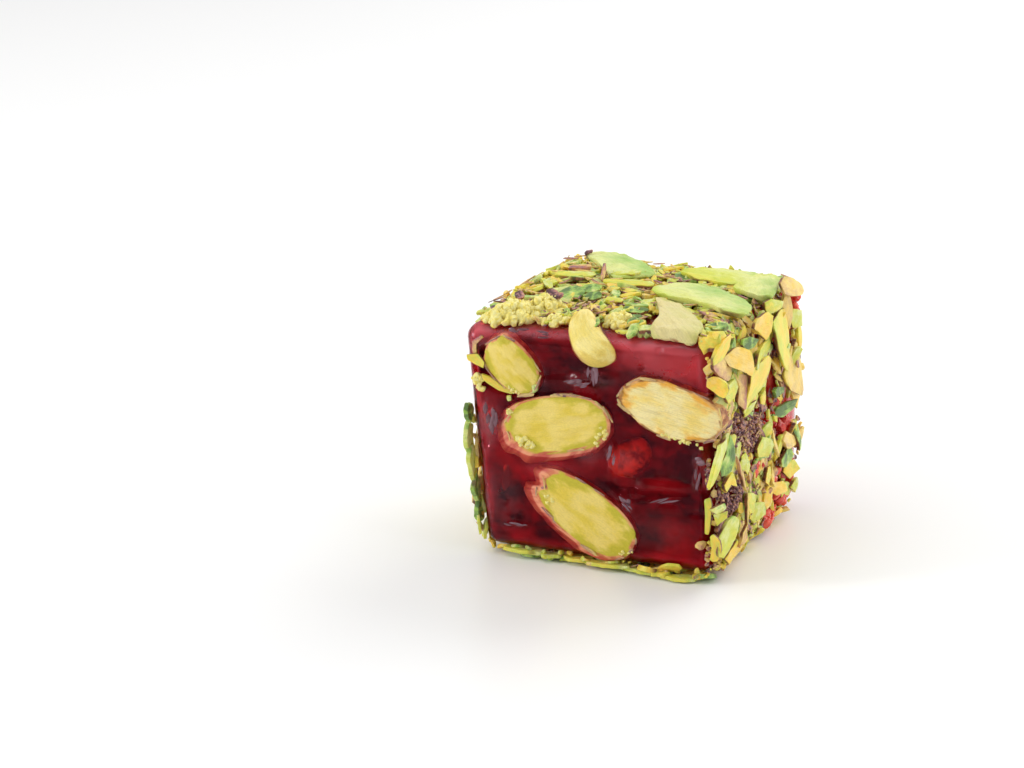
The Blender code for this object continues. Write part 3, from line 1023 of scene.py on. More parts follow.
class Shape(Enum):
    """Outlines that a knife makes of a pistachio: corners across and up in a box from -1 to 1."""

    OVAL = (-1, 0, -0.75, 0.62, 0, 1, 0.72, 0.72, 1, 0.05, 0.74, -0.66, 0, -1, -0.72, -0.66)
    LENS = (-1, -0.05, -0.5, 0.6, 0.05, 1, 0.6, 0.55, 1, 0.1, 0.5, -0.7, -0.1, -1, -0.6, -0.6)
    WEDGE = (-1, -0.35, -0.85, 0.3, 0.25, 1, 0.9, 0.75, 1, 0.0, 0.45, -0.8, -0.3, -1)
    LEAF = (-1, 0.05, -0.35, 0.75, 0.4, 1, 0.95, 0.5, 1, -0.4, 0.45, -1, -0.35, -0.8)
    STRIP = (-1, -0.5, -0.95, 0.7, -0.2, 1, 0.7, 0.8, 1, 0.2, 0.85, -0.8, 0, -1)
    HALF = (-1, -0.85, -0.8, 0.1, -0.3, 0.9, 0.3, 1, 0.85, 0.2, 1, -0.8, 0, -1)
    CHIP = (-1, 0.2, -0.5, 1, 0.4, 0.8, 1, 0.15, 0.65, -0.9, -0.1, -0.75, -0.7, -1)
    SLICE_1 = (-0.47, -0.3, 0.18, -0.68, 0.71, -1, 0.91, -0.51, 1, 0.11, 0.86, 0.5, 0.31, 0.87, -0.26, 1,
        -0.66, 0.9, -0.91, 0.44, -1, -0.05)
    SLICE_2 = (-0.56, -1, -0.1, -0.86, 0.34, -0.81, 0.72, -0.9, 1, -0.74, 0.94, -0.26, 0.77, 0.23, 0.35,
        0.69, -0.21, 0.99, -0.57, 1, -0.85, 0.6, -1, -0.22, -0.9, -0.8)
    SLICE_3 = (-0.57, 0.08, -0.1, -0.26, 0.27, -0.81, 0.52, -1, 0.69, -0.64, 0.81, -0.27, 1, 0.05, 0.79,
        0.58, 0.52, 0.91, 0.1, 0.97, -0.4, 1, -0.73, 0.85, -0.9, 0.61, -1, 0.31)
    SLICE_4 = (-0.38, -0.97, 0.16, -1, 0.7, -0.96, 0.95, -0.56, 1, 0.13, 0.94, 0.75, 0.68, 1, 0.2, 0.78,
        -0.18, 0.68, -0.75, 0.48, -1, 0.12, -0.97, -0.53)
    SLICE_5 = (0.36, -0.84, 0.6, -0.51, 0.91, -0.1, 1, 0.15, 0.85, 0.45, 0.08, 0.82, -0.54, 1, -0.8, 0.88,
        -1, 0.43, -0.85, 0, -0.43, -0.53, -0.09, -1)


class Tone(Enum):
    """Places of named colours on the nut palette, from 0 to 1."""

    DARK = 0.0
    PINK = 0.12
    TAN = 0.22
    PEACH = 0.34
    ORANGE = 0.45
    YELLOW = 0.57
    LIME = 0.69
    PALE = 0.80
    GREEN = 0.92
    DEEP = 1.0


OVAL, LENS, WEDGE, LEAF, STRIP, HALF, CHIP, *SLICES = Shape
DARK, PINK, TAN, PEACH, ORANGE, YELLOW, LIME, PALE, GREEN, DEEP = Tone


def smooth_ring(corners: Array, count: int, sharp: float) -> Array:
    """Draws a closed line through corners.

    Args:
        corners: The corners in order, one a row.
        count: How many points the line has.
        sharp: 0 for a smooth curve, 1 for straight edges.

    Returns:
        The line's points.
    """
    total = len(corners)
    t = np.arange(count) * total / count
    number = t.astype(int)
    f = (t - number)[:, None]
    p0, p1, p2, p3 = (corners[(number + i) % total] for i in (-1, 0, 1, 2))
    curve = 0.5 * (2 * p1 + (p2 - p0) * f + (2 * p0 - 5 * p1 + 4 * p2 - p3) * f ** 2
                   + (3 * p1 - 3 * p2 + p3 - p0) * f ** 3)
    return sharp * (p1 + (p2 - p1) * f) + (1 - sharp) * curve


@dataclass(frozen=True)
class Slab:
    """A flat piece cut from a kernel. Sizes are in millimetres."""

    shape: Shape | Array
    long: float
    wide: float
    thick: float = 0.8
    dome: float = 0.12
    curl: float = 0.0
    rough: float = 0.05
    ragged: float = 0.05
    sharp: float = 0.4
    points: int = 20
    rings: int = 3
    heart: float = 0.0
    skinned: float = 0.35
    seed: int = 0

    def mesh(self) -> Shaped:
        """Builds the piece lying flat, with its upper face at height 0.

        Returns:
            Points, faces, and its attributes: the place in the kernel and the skin.
        """
        corners = self.shape.value if isinstance(self.shape, Shape) else self.shape
        ring = smooth_ring(np.reshape(corners, (-1, 2)).astype(float), self.points, self.sharp)
        ring = ring * np.array([self.long, self.wide])
        spot = np.c_[ring, np.full(len(ring), self.seed * 3.7)]
        wander = waver(spot, 1.3, self.seed) + 0.6 * waver(spot, 0.5, self.seed + 1)
        ring = ring * (1 + self.ragged * wander[:, None])
        levels = [(s ** 0.8, 0.0) for s in np.arange(1, self.rings + 1) / self.rings]
        levels[-1] = (0.985, -0.025)
        levels += [(1.0, -0.3 * self.thick), (0.92, -self.thick)]
        rows = [np.c_[ring * s, np.full(len(ring), drop)] for s, drop in levels]
        points = np.concatenate([[[0.0, 0.0, 0.0]], *rows, [[0.0, 0.0, -self.thick]]])
        across, up = points[:, 0] / self.long, points[:, 1] / self.wide
        lift = self.dome * (1 - across ** 2) * np.clip(1 - up ** 2, 0, 1) + self.curl * across ** 2
        spot = np.c_[points[:, :2], np.full(len(points), self.seed * 5.1)]
        lift += self.rough * (waver(spot, 1.1, self.seed + 2) + 0.5 * waver(spot, 0.4, 9))
        points[:, 2] += lift
        faces = closed_faces(len(levels), self.points, self.runs_clockwise(ring))
        toward = (up + self.heart) / (1 + abs(self.heart))
        place = np.c_[across * 0.9, points[:, 2] / 6, toward]
        skin = np.zeros(len(points))
        edge = slice(-1 - 2 * self.points, -1)
        patches = waver(spot[edge], 2.4, self.seed + 5) + 2 * self.skinned - 1
        skin[edge] = ease(patches, -0.1, 0.15)
        return points, faces, {"kernel_place": place, "skin": skin}

    @staticmethod
    def runs_clockwise(ring: Array) -> bool:
        """Tells whether the ring runs clockwise."""
        after = np.roll(ring, -1, axis=0)
        return bool((ring[:, 0] * after[:, 1] - after[:, 0] * ring[:, 1]).sum() < 0)


@dataclass(frozen=True)
class Laid:
    """A slab laid on a side of the cube: where, how turned, how high, how tilted, and its tone."""

    side: Side
    slab: Slab
    along: float
    up: float
    turn: float
    tone: float
    lift: float = 1.3
    slope: Pair = (0.0, 0.0)

    def mesh(self) -> Shaped:
        """Builds the slab in its place on the cube, in millimetres."""
        points, faces, values = self.slab.mesh()
        across, up = turned(points[:, 0], points[:, 1], self.turn)
        height = points[:, 2] + self.lift + self.slope[0] * across + self.slope[1] * up
        placed = JellyForm.on_side(self.side, self.along + across, self.up + up, height)
        if self.side is TOP:
            over = np.maximum(0.0, -16.6 - placed[:, 1])
            placed[:, 1] += 0.5 * over
            placed[:, 2] -= 0.8 * over
        values["tone"] = np.full(len(points), self.tone)
        return placed, faces, values

    @classmethod
    def from_outline(cls, side: Side, corners: Array, tone: float, lift: float,
                     seed: int) -> "Laid":
        """Lays a shard whose outline on the side is given, slightly tilted.

        Args:
            side: The side.
            corners: Its corners in the side's two directions, in millimetres.
            tone: Its place on the palette.
            lift: Its height.
            seed: Chooses its roughness and tilt.

        Returns:
            The laid shard.
        """
        _, _, ways = np.linalg.svd(corners - corners.mean(0))
        turn = atan2(ways[0, 1], ways[0, 0])
        axes = np.array([[cos(turn), sin(turn)], [-sin(turn), cos(turn)]])
        local = corners @ axes.T
        low, high = local.min(0), local.max(0)
        half, middle = (high - low) / 2, (high + low) / 2 @ axes
        slab = Slab((local - (high + low) / 2) / half, *half, thick=0.6, dome=0.06, rough=0.09,
                    ragged=0.03, curl=0.25 * sin(seed * 1.3), sharp=0.85, points=30, rings=5,
                    heart=(seed % 3) * 0.4, skinned=0.6, seed=seed)
        slope = (0.15 * sin(seed * 1.9), 0.15 * cos(seed * 2.7))
        return cls(side, slab, *middle, degrees(turn), tone, lift, slope)


@dataclass(frozen=True)
class SliverFinish(FleshFinish):
    """Chopped pistachio: a palette chosen by each piece's tone, with fibres and skinned edges."""

    palette: tuple[tuple[float, int, int, int], ...] = (
        (0.0, 84, 50, 58), (0.05, 150, 108, 118), (0.12, 192, 132, 116), (0.22, 222, 186, 122),
        (0.34, 247, 213, 130), (0.45, 250, 204, 80), (0.57, 236, 217, 90), (0.69, 208, 214, 88),
        (0.80, 220, 224, 146), (0.92, 158, 194, 96), (1.0, 98, 126, 72),
    )
    roughness: float = 0.42
    through: float = 0.3
    radius: Triple = (0.0012, 0.001, 0.0004)
    relief: float = 0.0002
    strength: float = 0.6
    mottle: float = 0.1

    def build(self, name: str, flesh: Nodes) -> Material:
        """Builds the material, whose fibres and speckle come from the shared flesh group."""
        look = Look(name)
        place, tone = look.attribute("kernel_place", "Vector"), look.attribute("tone")
        moved = look.add("ShaderNodeVectorMath", {"operation": "ADD"}, i0=place, i1=tone).outputs[0]
        cloud = look.noise(moved, 1.3, 4.0, 0.6)
        parts = look.add("ShaderNodeSeparateXYZ", vector=place).outputs
        shift = look.math("ADD", tone, look.spread(cloud, 0.3, 0.7, -self.mottle, self.mottle))
        shift = look.math("ADD", shift, look.spread(parts[2], -1.0, 1.0, -0.06, 0.07))
        shift = look.math("ADD", shift, look.spread(parts[0], -0.8, 0.8, -0.05, 0.05))
        ramp = look.add("ShaderNodeValToRGB", i0=shift)
        stops = ramp.color_ramp.elements
        for spot, *_ in self.palette[1:-1]:
            stops.new(spot)
        for stop, (_, *steps) in zip(stops, self.palette):
            stop.color = (*paint(*steps), 1.0)
        group = look.add("ShaderNodeGroup", {"node_tree": flesh}, place=place, core=(1.0, 1.0, 1.0),
                         middle=(0.97, 0.96, 0.9), rim=(0.82, 0.9, 0.6), rim_start=0.82,
                         fibre=0.35, offset=tone)
        toned = look.blend(1.0, ramp.outputs[0], group.outputs["Colour"], "MULTIPLY")
        return self.cover(look, place, toned, group.outputs["Height"])


SLICE_FINISH = SliverFinish(roughness=0.5, through=0.15, mottle=0.05)
CREAM_FINISH = replace(SLICE_FINISH, palette=(
    (0.0, 196, 174, 96), (0.6, 212, 194, 124), (0.78, 220, 206, 146), (1.0, 196, 198, 112)))


# ---- scattered slivers

class Zone(Enum):
    """Where a kind of piece is strewn."""

    TOP = 0
    SIDES = 1
    SKIN = 2


@dataclass(frozen=True)
class Scatter:
    """One way of strewing pieces over the coated sides, in millimetres and degrees."""

    zone: Zone
    spacing: float
    density: float
    scale_low: float
    scale_high: float
    tilt: float
    turn: float
    lift_low: float
    lift_high: float
    tone_low: float
    tone_high: float
    seed: int

    def values(self) -> dict[str, float]:
        """Gives the node tree's inputs by name, in metres and radians."""
        units = {"spacing": MM, "density": MM ** -2, "tilt": radians(1), "turn": radians(1),
                 "lift_low": MM, "lift_high": MM}
        return {key.replace("_", " ").title(): value * units.get(key, 1)
                for key, value in vars(self).items() if key != "zone"}


# Patches of the top where nothing is strewn: across, back, half sizes and turn in radians.
KEPT_CLEAR = (
    (-1.4, -16, 4.4, 3.4, 0), (-14.2, -14, 4.2, 3.4, 0.4), (-10.4, -10.6, 3, 2.4, 0.2),
    (1.8, -12.6, 2.2, 1.8, -0.3), (9.1, -12.9, 9, 3.2, -0.87),
)


# Patches of the right side that show skin and crumbs instead of shards: along, up and half sizes.
SIDE_KEPT_CLEAR = (
    (-9.2, 20, 2.6, 2.8), (-3.6, 17.8, 5, 3.2), (-11.8, 10.8, 5, 2.9),
)


class SliverField:
    """Strews copies of a few shapes over the coated sides with one node tree."""

    inputs = {
        "Geometry": "Geometry", "Shapes": "Collection", "Finish": "Material",
        **dict.fromkeys(("Spacing", "Density", "Scale Low", "Scale High", "Tilt", "Turn",
                         "Lift Low", "Lift High", "Tone Low", "Tone High"), "Float"),
        "Seed": "Int",
    }

    def __init__(self, block: Block) -> None:
        """Takes the cube's measure and builds the node tree."""
        self.block = block
        self.group = self.node_tree()

    def node_tree(self) -> Nodes:
        """Builds the tree that strews, turns, sizes, tones and joins the copies."""
        tree, given, end = open_group("strew_slivers", "GeometryNodeTree", self.inputs,
                                      {"Geometry": "Geometry"})

        def named(name: str, kind: str = "FLOAT") -> Socket:
            """Reads an attribute of the guide."""
            return tree.add("GeometryNodeInputNamedAttribute", {"data_type": kind},
                            name=name).outputs[0]

        def chance(low, high, offset: int) -> Socket:
            """Picks a number for each point."""
            seed = tree.math("ADD", given["Seed"], float(offset))
            return tree.add("FunctionNodeRandomValue", {"data_type": "FLOAT"}, i2=low, i3=high,
                            i8=seed).outputs[1]

        points = tree.add("GeometryNodeDistributePointsOnFaces", {"distribute_method": "POISSON"},
                          mesh=given["Geometry"], distance_min=given["Spacing"],
                          density_max=given["Density"], density_factor=named("room"),
                          seed=given["Seed"]).outputs
        facing = tree.add("FunctionNodeAxesToRotation",
                          {"primary_axis": "Z", "secondary_axis": "X"},
                          i0=points["Normal"], i1=named("grain", "FLOAT_VECTOR"))
        tilt = tree.math("MULTIPLY", given["Tilt"], -1.0)
        turn = tree.math("MULTIPLY", given["Turn"], named("freedom"))
        wobble = tree.add("ShaderNodeCombineXYZ", i0=chance(tilt, given["Tilt"], 11),
                          i1=chance(tilt, given["Tilt"], 12),
                          i2=tree.math("MULTIPLY", turn, chance(-1.0, 1.0, 13)))
        spin = tree.add("FunctionNodeEulerToRotation", i0=wobble.outputs[0])
        way = tree.add("FunctionNodeRotateRotation", {"rotation_space": "LOCAL"},
                       rotation=facing.outputs[0], rotate_by=spin.outputs[0])
        rise = tree.add("ShaderNodeVectorMath", {"operation": "SCALE"}, i0=points["Normal"],
                        scale=chance(given["Lift Low"], given["Lift High"], 14))
        moved = tree.add("GeometryNodeSetPosition", geometry=points["Points"],
                         offset=rise.outputs[0])
        shapes = tree.add("GeometryNodeCollectionInfo", collection=given["Shapes"],
                          separate_children=True, reset_children=True)
        placed = tree.add("GeometryNodeInstanceOnPoints", points=moved.outputs[0],
                          instance=shapes.outputs[0], pick_instance=True, rotation=way.outputs[0],
                          scale=chance(given["Scale Low"], given["Scale High"], 15))
        shade = tree.math("ADD", chance(given["Tone Low"], given["Tone High"], 16), named("ripe"),
                          clamp=True)
        toned = tree.add("GeometryNodeStoreNamedAttribute",
                         {"data_type": "FLOAT", "domain": "INSTANCE"},
                         geometry=placed.outputs[0], name="tone", value=shade)
        real = tree.add("GeometryNodeRealizeInstances", geometry=toned.outputs[0])
        dressed = tree.add("GeometryNodeSetMaterial", geometry=real.outputs[0],
                           material=given["Finish"])
        tree.put(end[0], dressed.outputs[0])
        return tree.tree

    def guide(self, zone: Zone) -> Piece:
        """Makes the coated part of the jelly's surface, with how much room there is and the grain."""
        u, faces = box_grid((26, 26, 26))
        points, normals = JellyForm.surface(u)
        kept = [quad for quad in faces if np.abs(normals[list(quad), 1]).max() < 0.72]
        room = self.room(points, normals, zone)
        grain = np.tile([1.0, 0.2, 0.0], (len(points), 1))
        upright = np.abs(normals[:, 0]) > 0.6
        grain[upright] = (0.0, 0.35, 1.0)
        freedom = np.where(upright, 0.4, 1.0)
        ripe = np.where(upright & (points[:, 1] > 1.0), -0.14, 0.0)
        painted = {"room": room, "grain": grain, "freedom": freedom, "ripe": ripe}
        return new_object("coat_guide", self.block.metres(points), kept,
                          bpy.data.materials.new("guide"), painted)

    @staticmethod
    def room(points: Array, normals: Array, zone: Zone) -> Array:
        """Tells how densely the slivers lie, from 0 to 1.

        Args:
            points: Points of the jelly in millimetres.
            normals: Their outward normals.
            zone: Which sides count.

        Returns:
            One number for each point.
        """
        x, y, z = points.T
        nx, nz = normals[:, 0], normals[:, 2]
        room = np.ones(len(points))
        for across, back, wide, deep, turn in KEPT_CLEAR:
            along = (x - across) * cos(turn) + (y - back) * sin(turn)
            beside = (y - back) * cos(turn) - (x - across) * sin(turn)
            away = np.sqrt((along / wide) ** 2 + (beside / deep) ** 2)
            room -= 0.95 * (nz > 0.3) * (1 - ease(away, 0.8, 1.1))
        room -= ease(-y, 14.8, 15.8) * (nz > 0.3)
        room -= ease(np.abs(y), 15.8, 17.2) * (np.abs(nx) > 0.5)
        for along, up, wide, high in SIDE_KEPT_CLEAR:
            away = np.sqrt(((y - along) / wide) ** 2 + ((z - up) / high) ** 2)
            room -= (nx > 0.5) * (zone is not Zone.SKIN) * (1 - ease(away, 0.8, 1.1))
        patches = ease(waver(points, 3.2, 61), -0.3, 0.05)
        room -= ease(y, -3.0, 3.0) * (nx > 0.5) * patches
        left = ease(-nx, 0.3, 0.6)
        room -= left * ease(z, 19.0, 24.0) * ease(
            2.0 * waver(points, 5.0, 71) - y, 10.5, 13.5)
        over = nz > 0.5
        if zone is Zone.TOP:
            room = room * over
        elif zone is Zone.SIDES:
            room = room * ~over
        elif zone is Zone.SKIN:
            low = ease(-y, 0.0, 4.0) * ease(-z, -26.0, -20.0) * (nx > 0.5) * 0.7
            room = room * ease(waver(points, 5.0, 67) + low, 0.05, 0.45)
            room = room * (1 - left * ease(-y, 6.0, 10.0))
        return np.clip(room, 0.0, 1.0)

    @staticmethod
    def shapes(name: str, slabs: Sequence[Slab], finish: Material) -> bpy.types.Collection:
        """Builds a hidden collection of shapes to copy."""
        collection = bpy.data.collections.new(name)
        for number, slab in enumerate(slabs):
            points, faces, values = slab.mesh()
            made = new_object(f"{name}_{number:02d}", points * MM, faces, finish, values)
            face_outwards(made)
            made.data.set_sharp_from_angle(angle=radians(CUT_CRISP))
            bpy.context.scene.collection.objects.unlink(made)
            collection.objects.link(made)
        return collection

    def strew(self, name: str, slabs: Sequence[Slab], scatter: Scatter, finish: Material,
              nodes: Sequence[str] = ()) -> Piece:
        """Strews one kind of piece and settles it as one plain mesh.

        Args:
            name: The piece's name.
            slabs: What is copied.
            scatter: How it is strewn.
            finish: Its material.
            nodes: CAD nodes that it stands for.

        Returns:
            The piece.
        """
        guide = self.guide(scatter.zone)
        modifier = guide.modifiers.new("strew", "NODES")
        modifier.node_group = self.group
        values = {"Shapes": self.shapes(name, slabs, finish), "Finish": finish, **scatter.values()}
        for item in self.group.interface.items_tree:
            if item.in_out == "INPUT" and item.name in values:
                modifier[item.identifier] = values[item.name]
        graph = bpy.context.evaluated_depsgraph_get()
        mesh = bpy.data.meshes.new_from_object(guide.evaluated_get(graph))
        bpy.data.objects.remove(guide)
        made = bpy.data.objects.new(name, mesh)
        bpy.context.scene.collection.objects.link(made)
        return settle(made, "nut_slivers", nodes)


# ---- pieces laid one by one

# Side, shape, place in the side's two directions, half length, half width, turn, tone and lift of
# the larger slivers; then, where the piece is tilted, its rise for each millimetre in each direction.
LARGE_SLIVERS = (
    (RIGHT, LEAF, -0.1, 28, 4, 0.9, 5, PALE, 1.2), (RIGHT, LEAF, 13.3, 21.8, 5.2, 2.2, -80, PEACH, 1.2),
    (RIGHT, CHIP, -7.1, 14.4, 2.1, 1.2, -38, LIME, 1.3), (RIGHT, HALF, 2.1, 13.7, 3.3, 1.4, -7, GREEN, 1.2),
    (RIGHT, CHIP, 10.3, 10.1, 1.8, 0.8, -33, ORANGE, 1), (RIGHT, CHIP, 10.2, 4.8, 2.4, 1.2, -14, LIME, 1),
    (RIGHT, STRIP, -10.4, 2.7, 4.2, 0.8, 4, ORANGE, 1.1), (TOP, CHIP, 16.7, -17.3, 1.5, 1.1, 20, YELLOW, 1),
    (TOP, LENS, 3.6, 10.4, 3.4, 2.6, -20, GREEN, 1.2, 0, 0.05),
    (TOP, LEAF, -9.3, -4.4, 2.2, 1.7, 20, GREEN, 1.5, 0, 0.25),
    (TOP, STRIP, -6.8, -2.5, 1.6, 1.1, 20, GREEN, 1.7, 0, 0.3),
    (TOP, LEAF, -5.4, -5.5, 1.4, 1, 5, GREEN, 1.6, 0, 0.3),
    (TOP, STRIP, -1.7, -6.1, 1.3, 0.6, 0, LIME, 1.5, 0, 0.2),
    (TOP, STRIP, -12.2, 4.2, 3, 0.9, 5, LIME, 1.7, 0, 0.2),
    (TOP, LEAF, -5, 6, 2.2, 0.9, 15, LIME, 2, 0.05, 0.2),
    (TOP, STRIP, -2.9, 2.3, 3.9, 0.8, 3, LIME, 1.6, 0, 0.2),
    (TOP, STRIP, -13, 7.9, 1.8, 0.5, 12, PINK, 1.8, 0, 0.3),
    (TOP, STRIP, -8.1, 4.9, 1.9, 0.35, -72, PINK, 2.2, 0, 0.45),
    (TOP, STRIP, 2.2, -7.4, 1.7, 0.4, 4, GREEN, 1.5, 0, 0.2),
    (TOP, STRIP, 2.6, -8.8, 1.9, 0.4, -3, DEEP, 1.4, 0, 0.2),
    (TOP, STRIP, 2.7, -10.2, 1.8, 0.45, 2, GREEN, 1.5, 0, 0.2),
    (TOP, STRIP, 3.3, -11.7, 1.7, 0.4, 6, DEEP, 1.3, 0, 0.2),
    (TOP, CHIP, 4.7, -14, 1.1, 0.9, 0, GREEN, 1.4, 0, 0.2),
    (TOP, CHIP, 7.2, -15.6, 1.4, 0.9, 10, PALE, 1.2, 0, 0.1),
    (TOP, OVAL, 16, -12, 1.4, 1.2, 10, GREEN, 1.3, 0, 0.1),
    (TOP, CHIP, -9.9, -9, 1.2, 0.6, -20, DARK, 2.7, 0.1, 0.5),
    (TOP, WEDGE, -8.4, -10.4, 0.8, 0.45, 25, DARK, 2.8, -0.2, 0.5),
    (TOP, STRIP, -14.6, -9.8, 1.4, 0.6, -50, DARK, 2.3, 0.2, 0.3),
    (TOP, STRIP, -16.6, -13.8, 1.3, 0.5, -50, DARK, 1.3, 0.1, 0.2),
    (TOP, STRIP, 12.4, -6.6, 2, 0.7, -30, PINK, 1.2), (LEFT, LEAF, -16.9, 20.4, 1.5, 1.2, 80, GREEN, 1.1),
    (LEFT, CHIP, -17, 16.9, 2.4, 1.2, 85, PALE, 1.5), (LEFT, LEAF, -17, 13, 3, 1.3, 92, LIME, 1.2),
    (LEFT, LENS, -16.8, 9.4, 2.2, 1.2, 88, GREEN, 1.2), (LEFT, CHIP, -16.6, 5.9, 1.7, 1.3, 80, GREEN, 1.1),
    (UNDER, STRIP, -11.2, -17, 3.1, 1.3, 3, LIME, 0.35), (UNDER, CHIP, -7, -17.3, 1.6, 1, 20, PALE, 0.5),
    (UNDER, WEDGE, -3.2, -16.8, 2.4, 1.4, -8, YELLOW, 0.6),
    (UNDER, LEAF, 1.2, -17.5, 3.4, 1.2, 4, LIME, 0.55), (UNDER, STRIP, 6.6, -17.3, 2.8, 1, -4, PALE, 0.8),
    (UNDER, CHIP, 9.6, -17.7, 1.4, 1.1, 0, YELLOW, 0.7), (UNDER, LEAF, 12.4, -18, 2.6, 1.1, 8, LIME, 0.95),
    (UNDER, WEDGE, 15.3, -17.2, 1.3, 0.8, 35, YELLOW, 0.5),
    (RIGHT, LENS, -10.4, 13.8, 3.8, 0.32, -59, TAN, 2.1),
    (RIGHT, LENS, -8.3, 8.2, 2.7, 0.3, -90, PEACH, 2.1), (RIGHT, LENS, -9.8, 4.6, 2, 0.4, 38, TAN, 2),
    (TOP, CHIP, -14.6, 14.6, 0.7, 0.5, 30, DARK, 2.3, 0.1, 0.3),
)

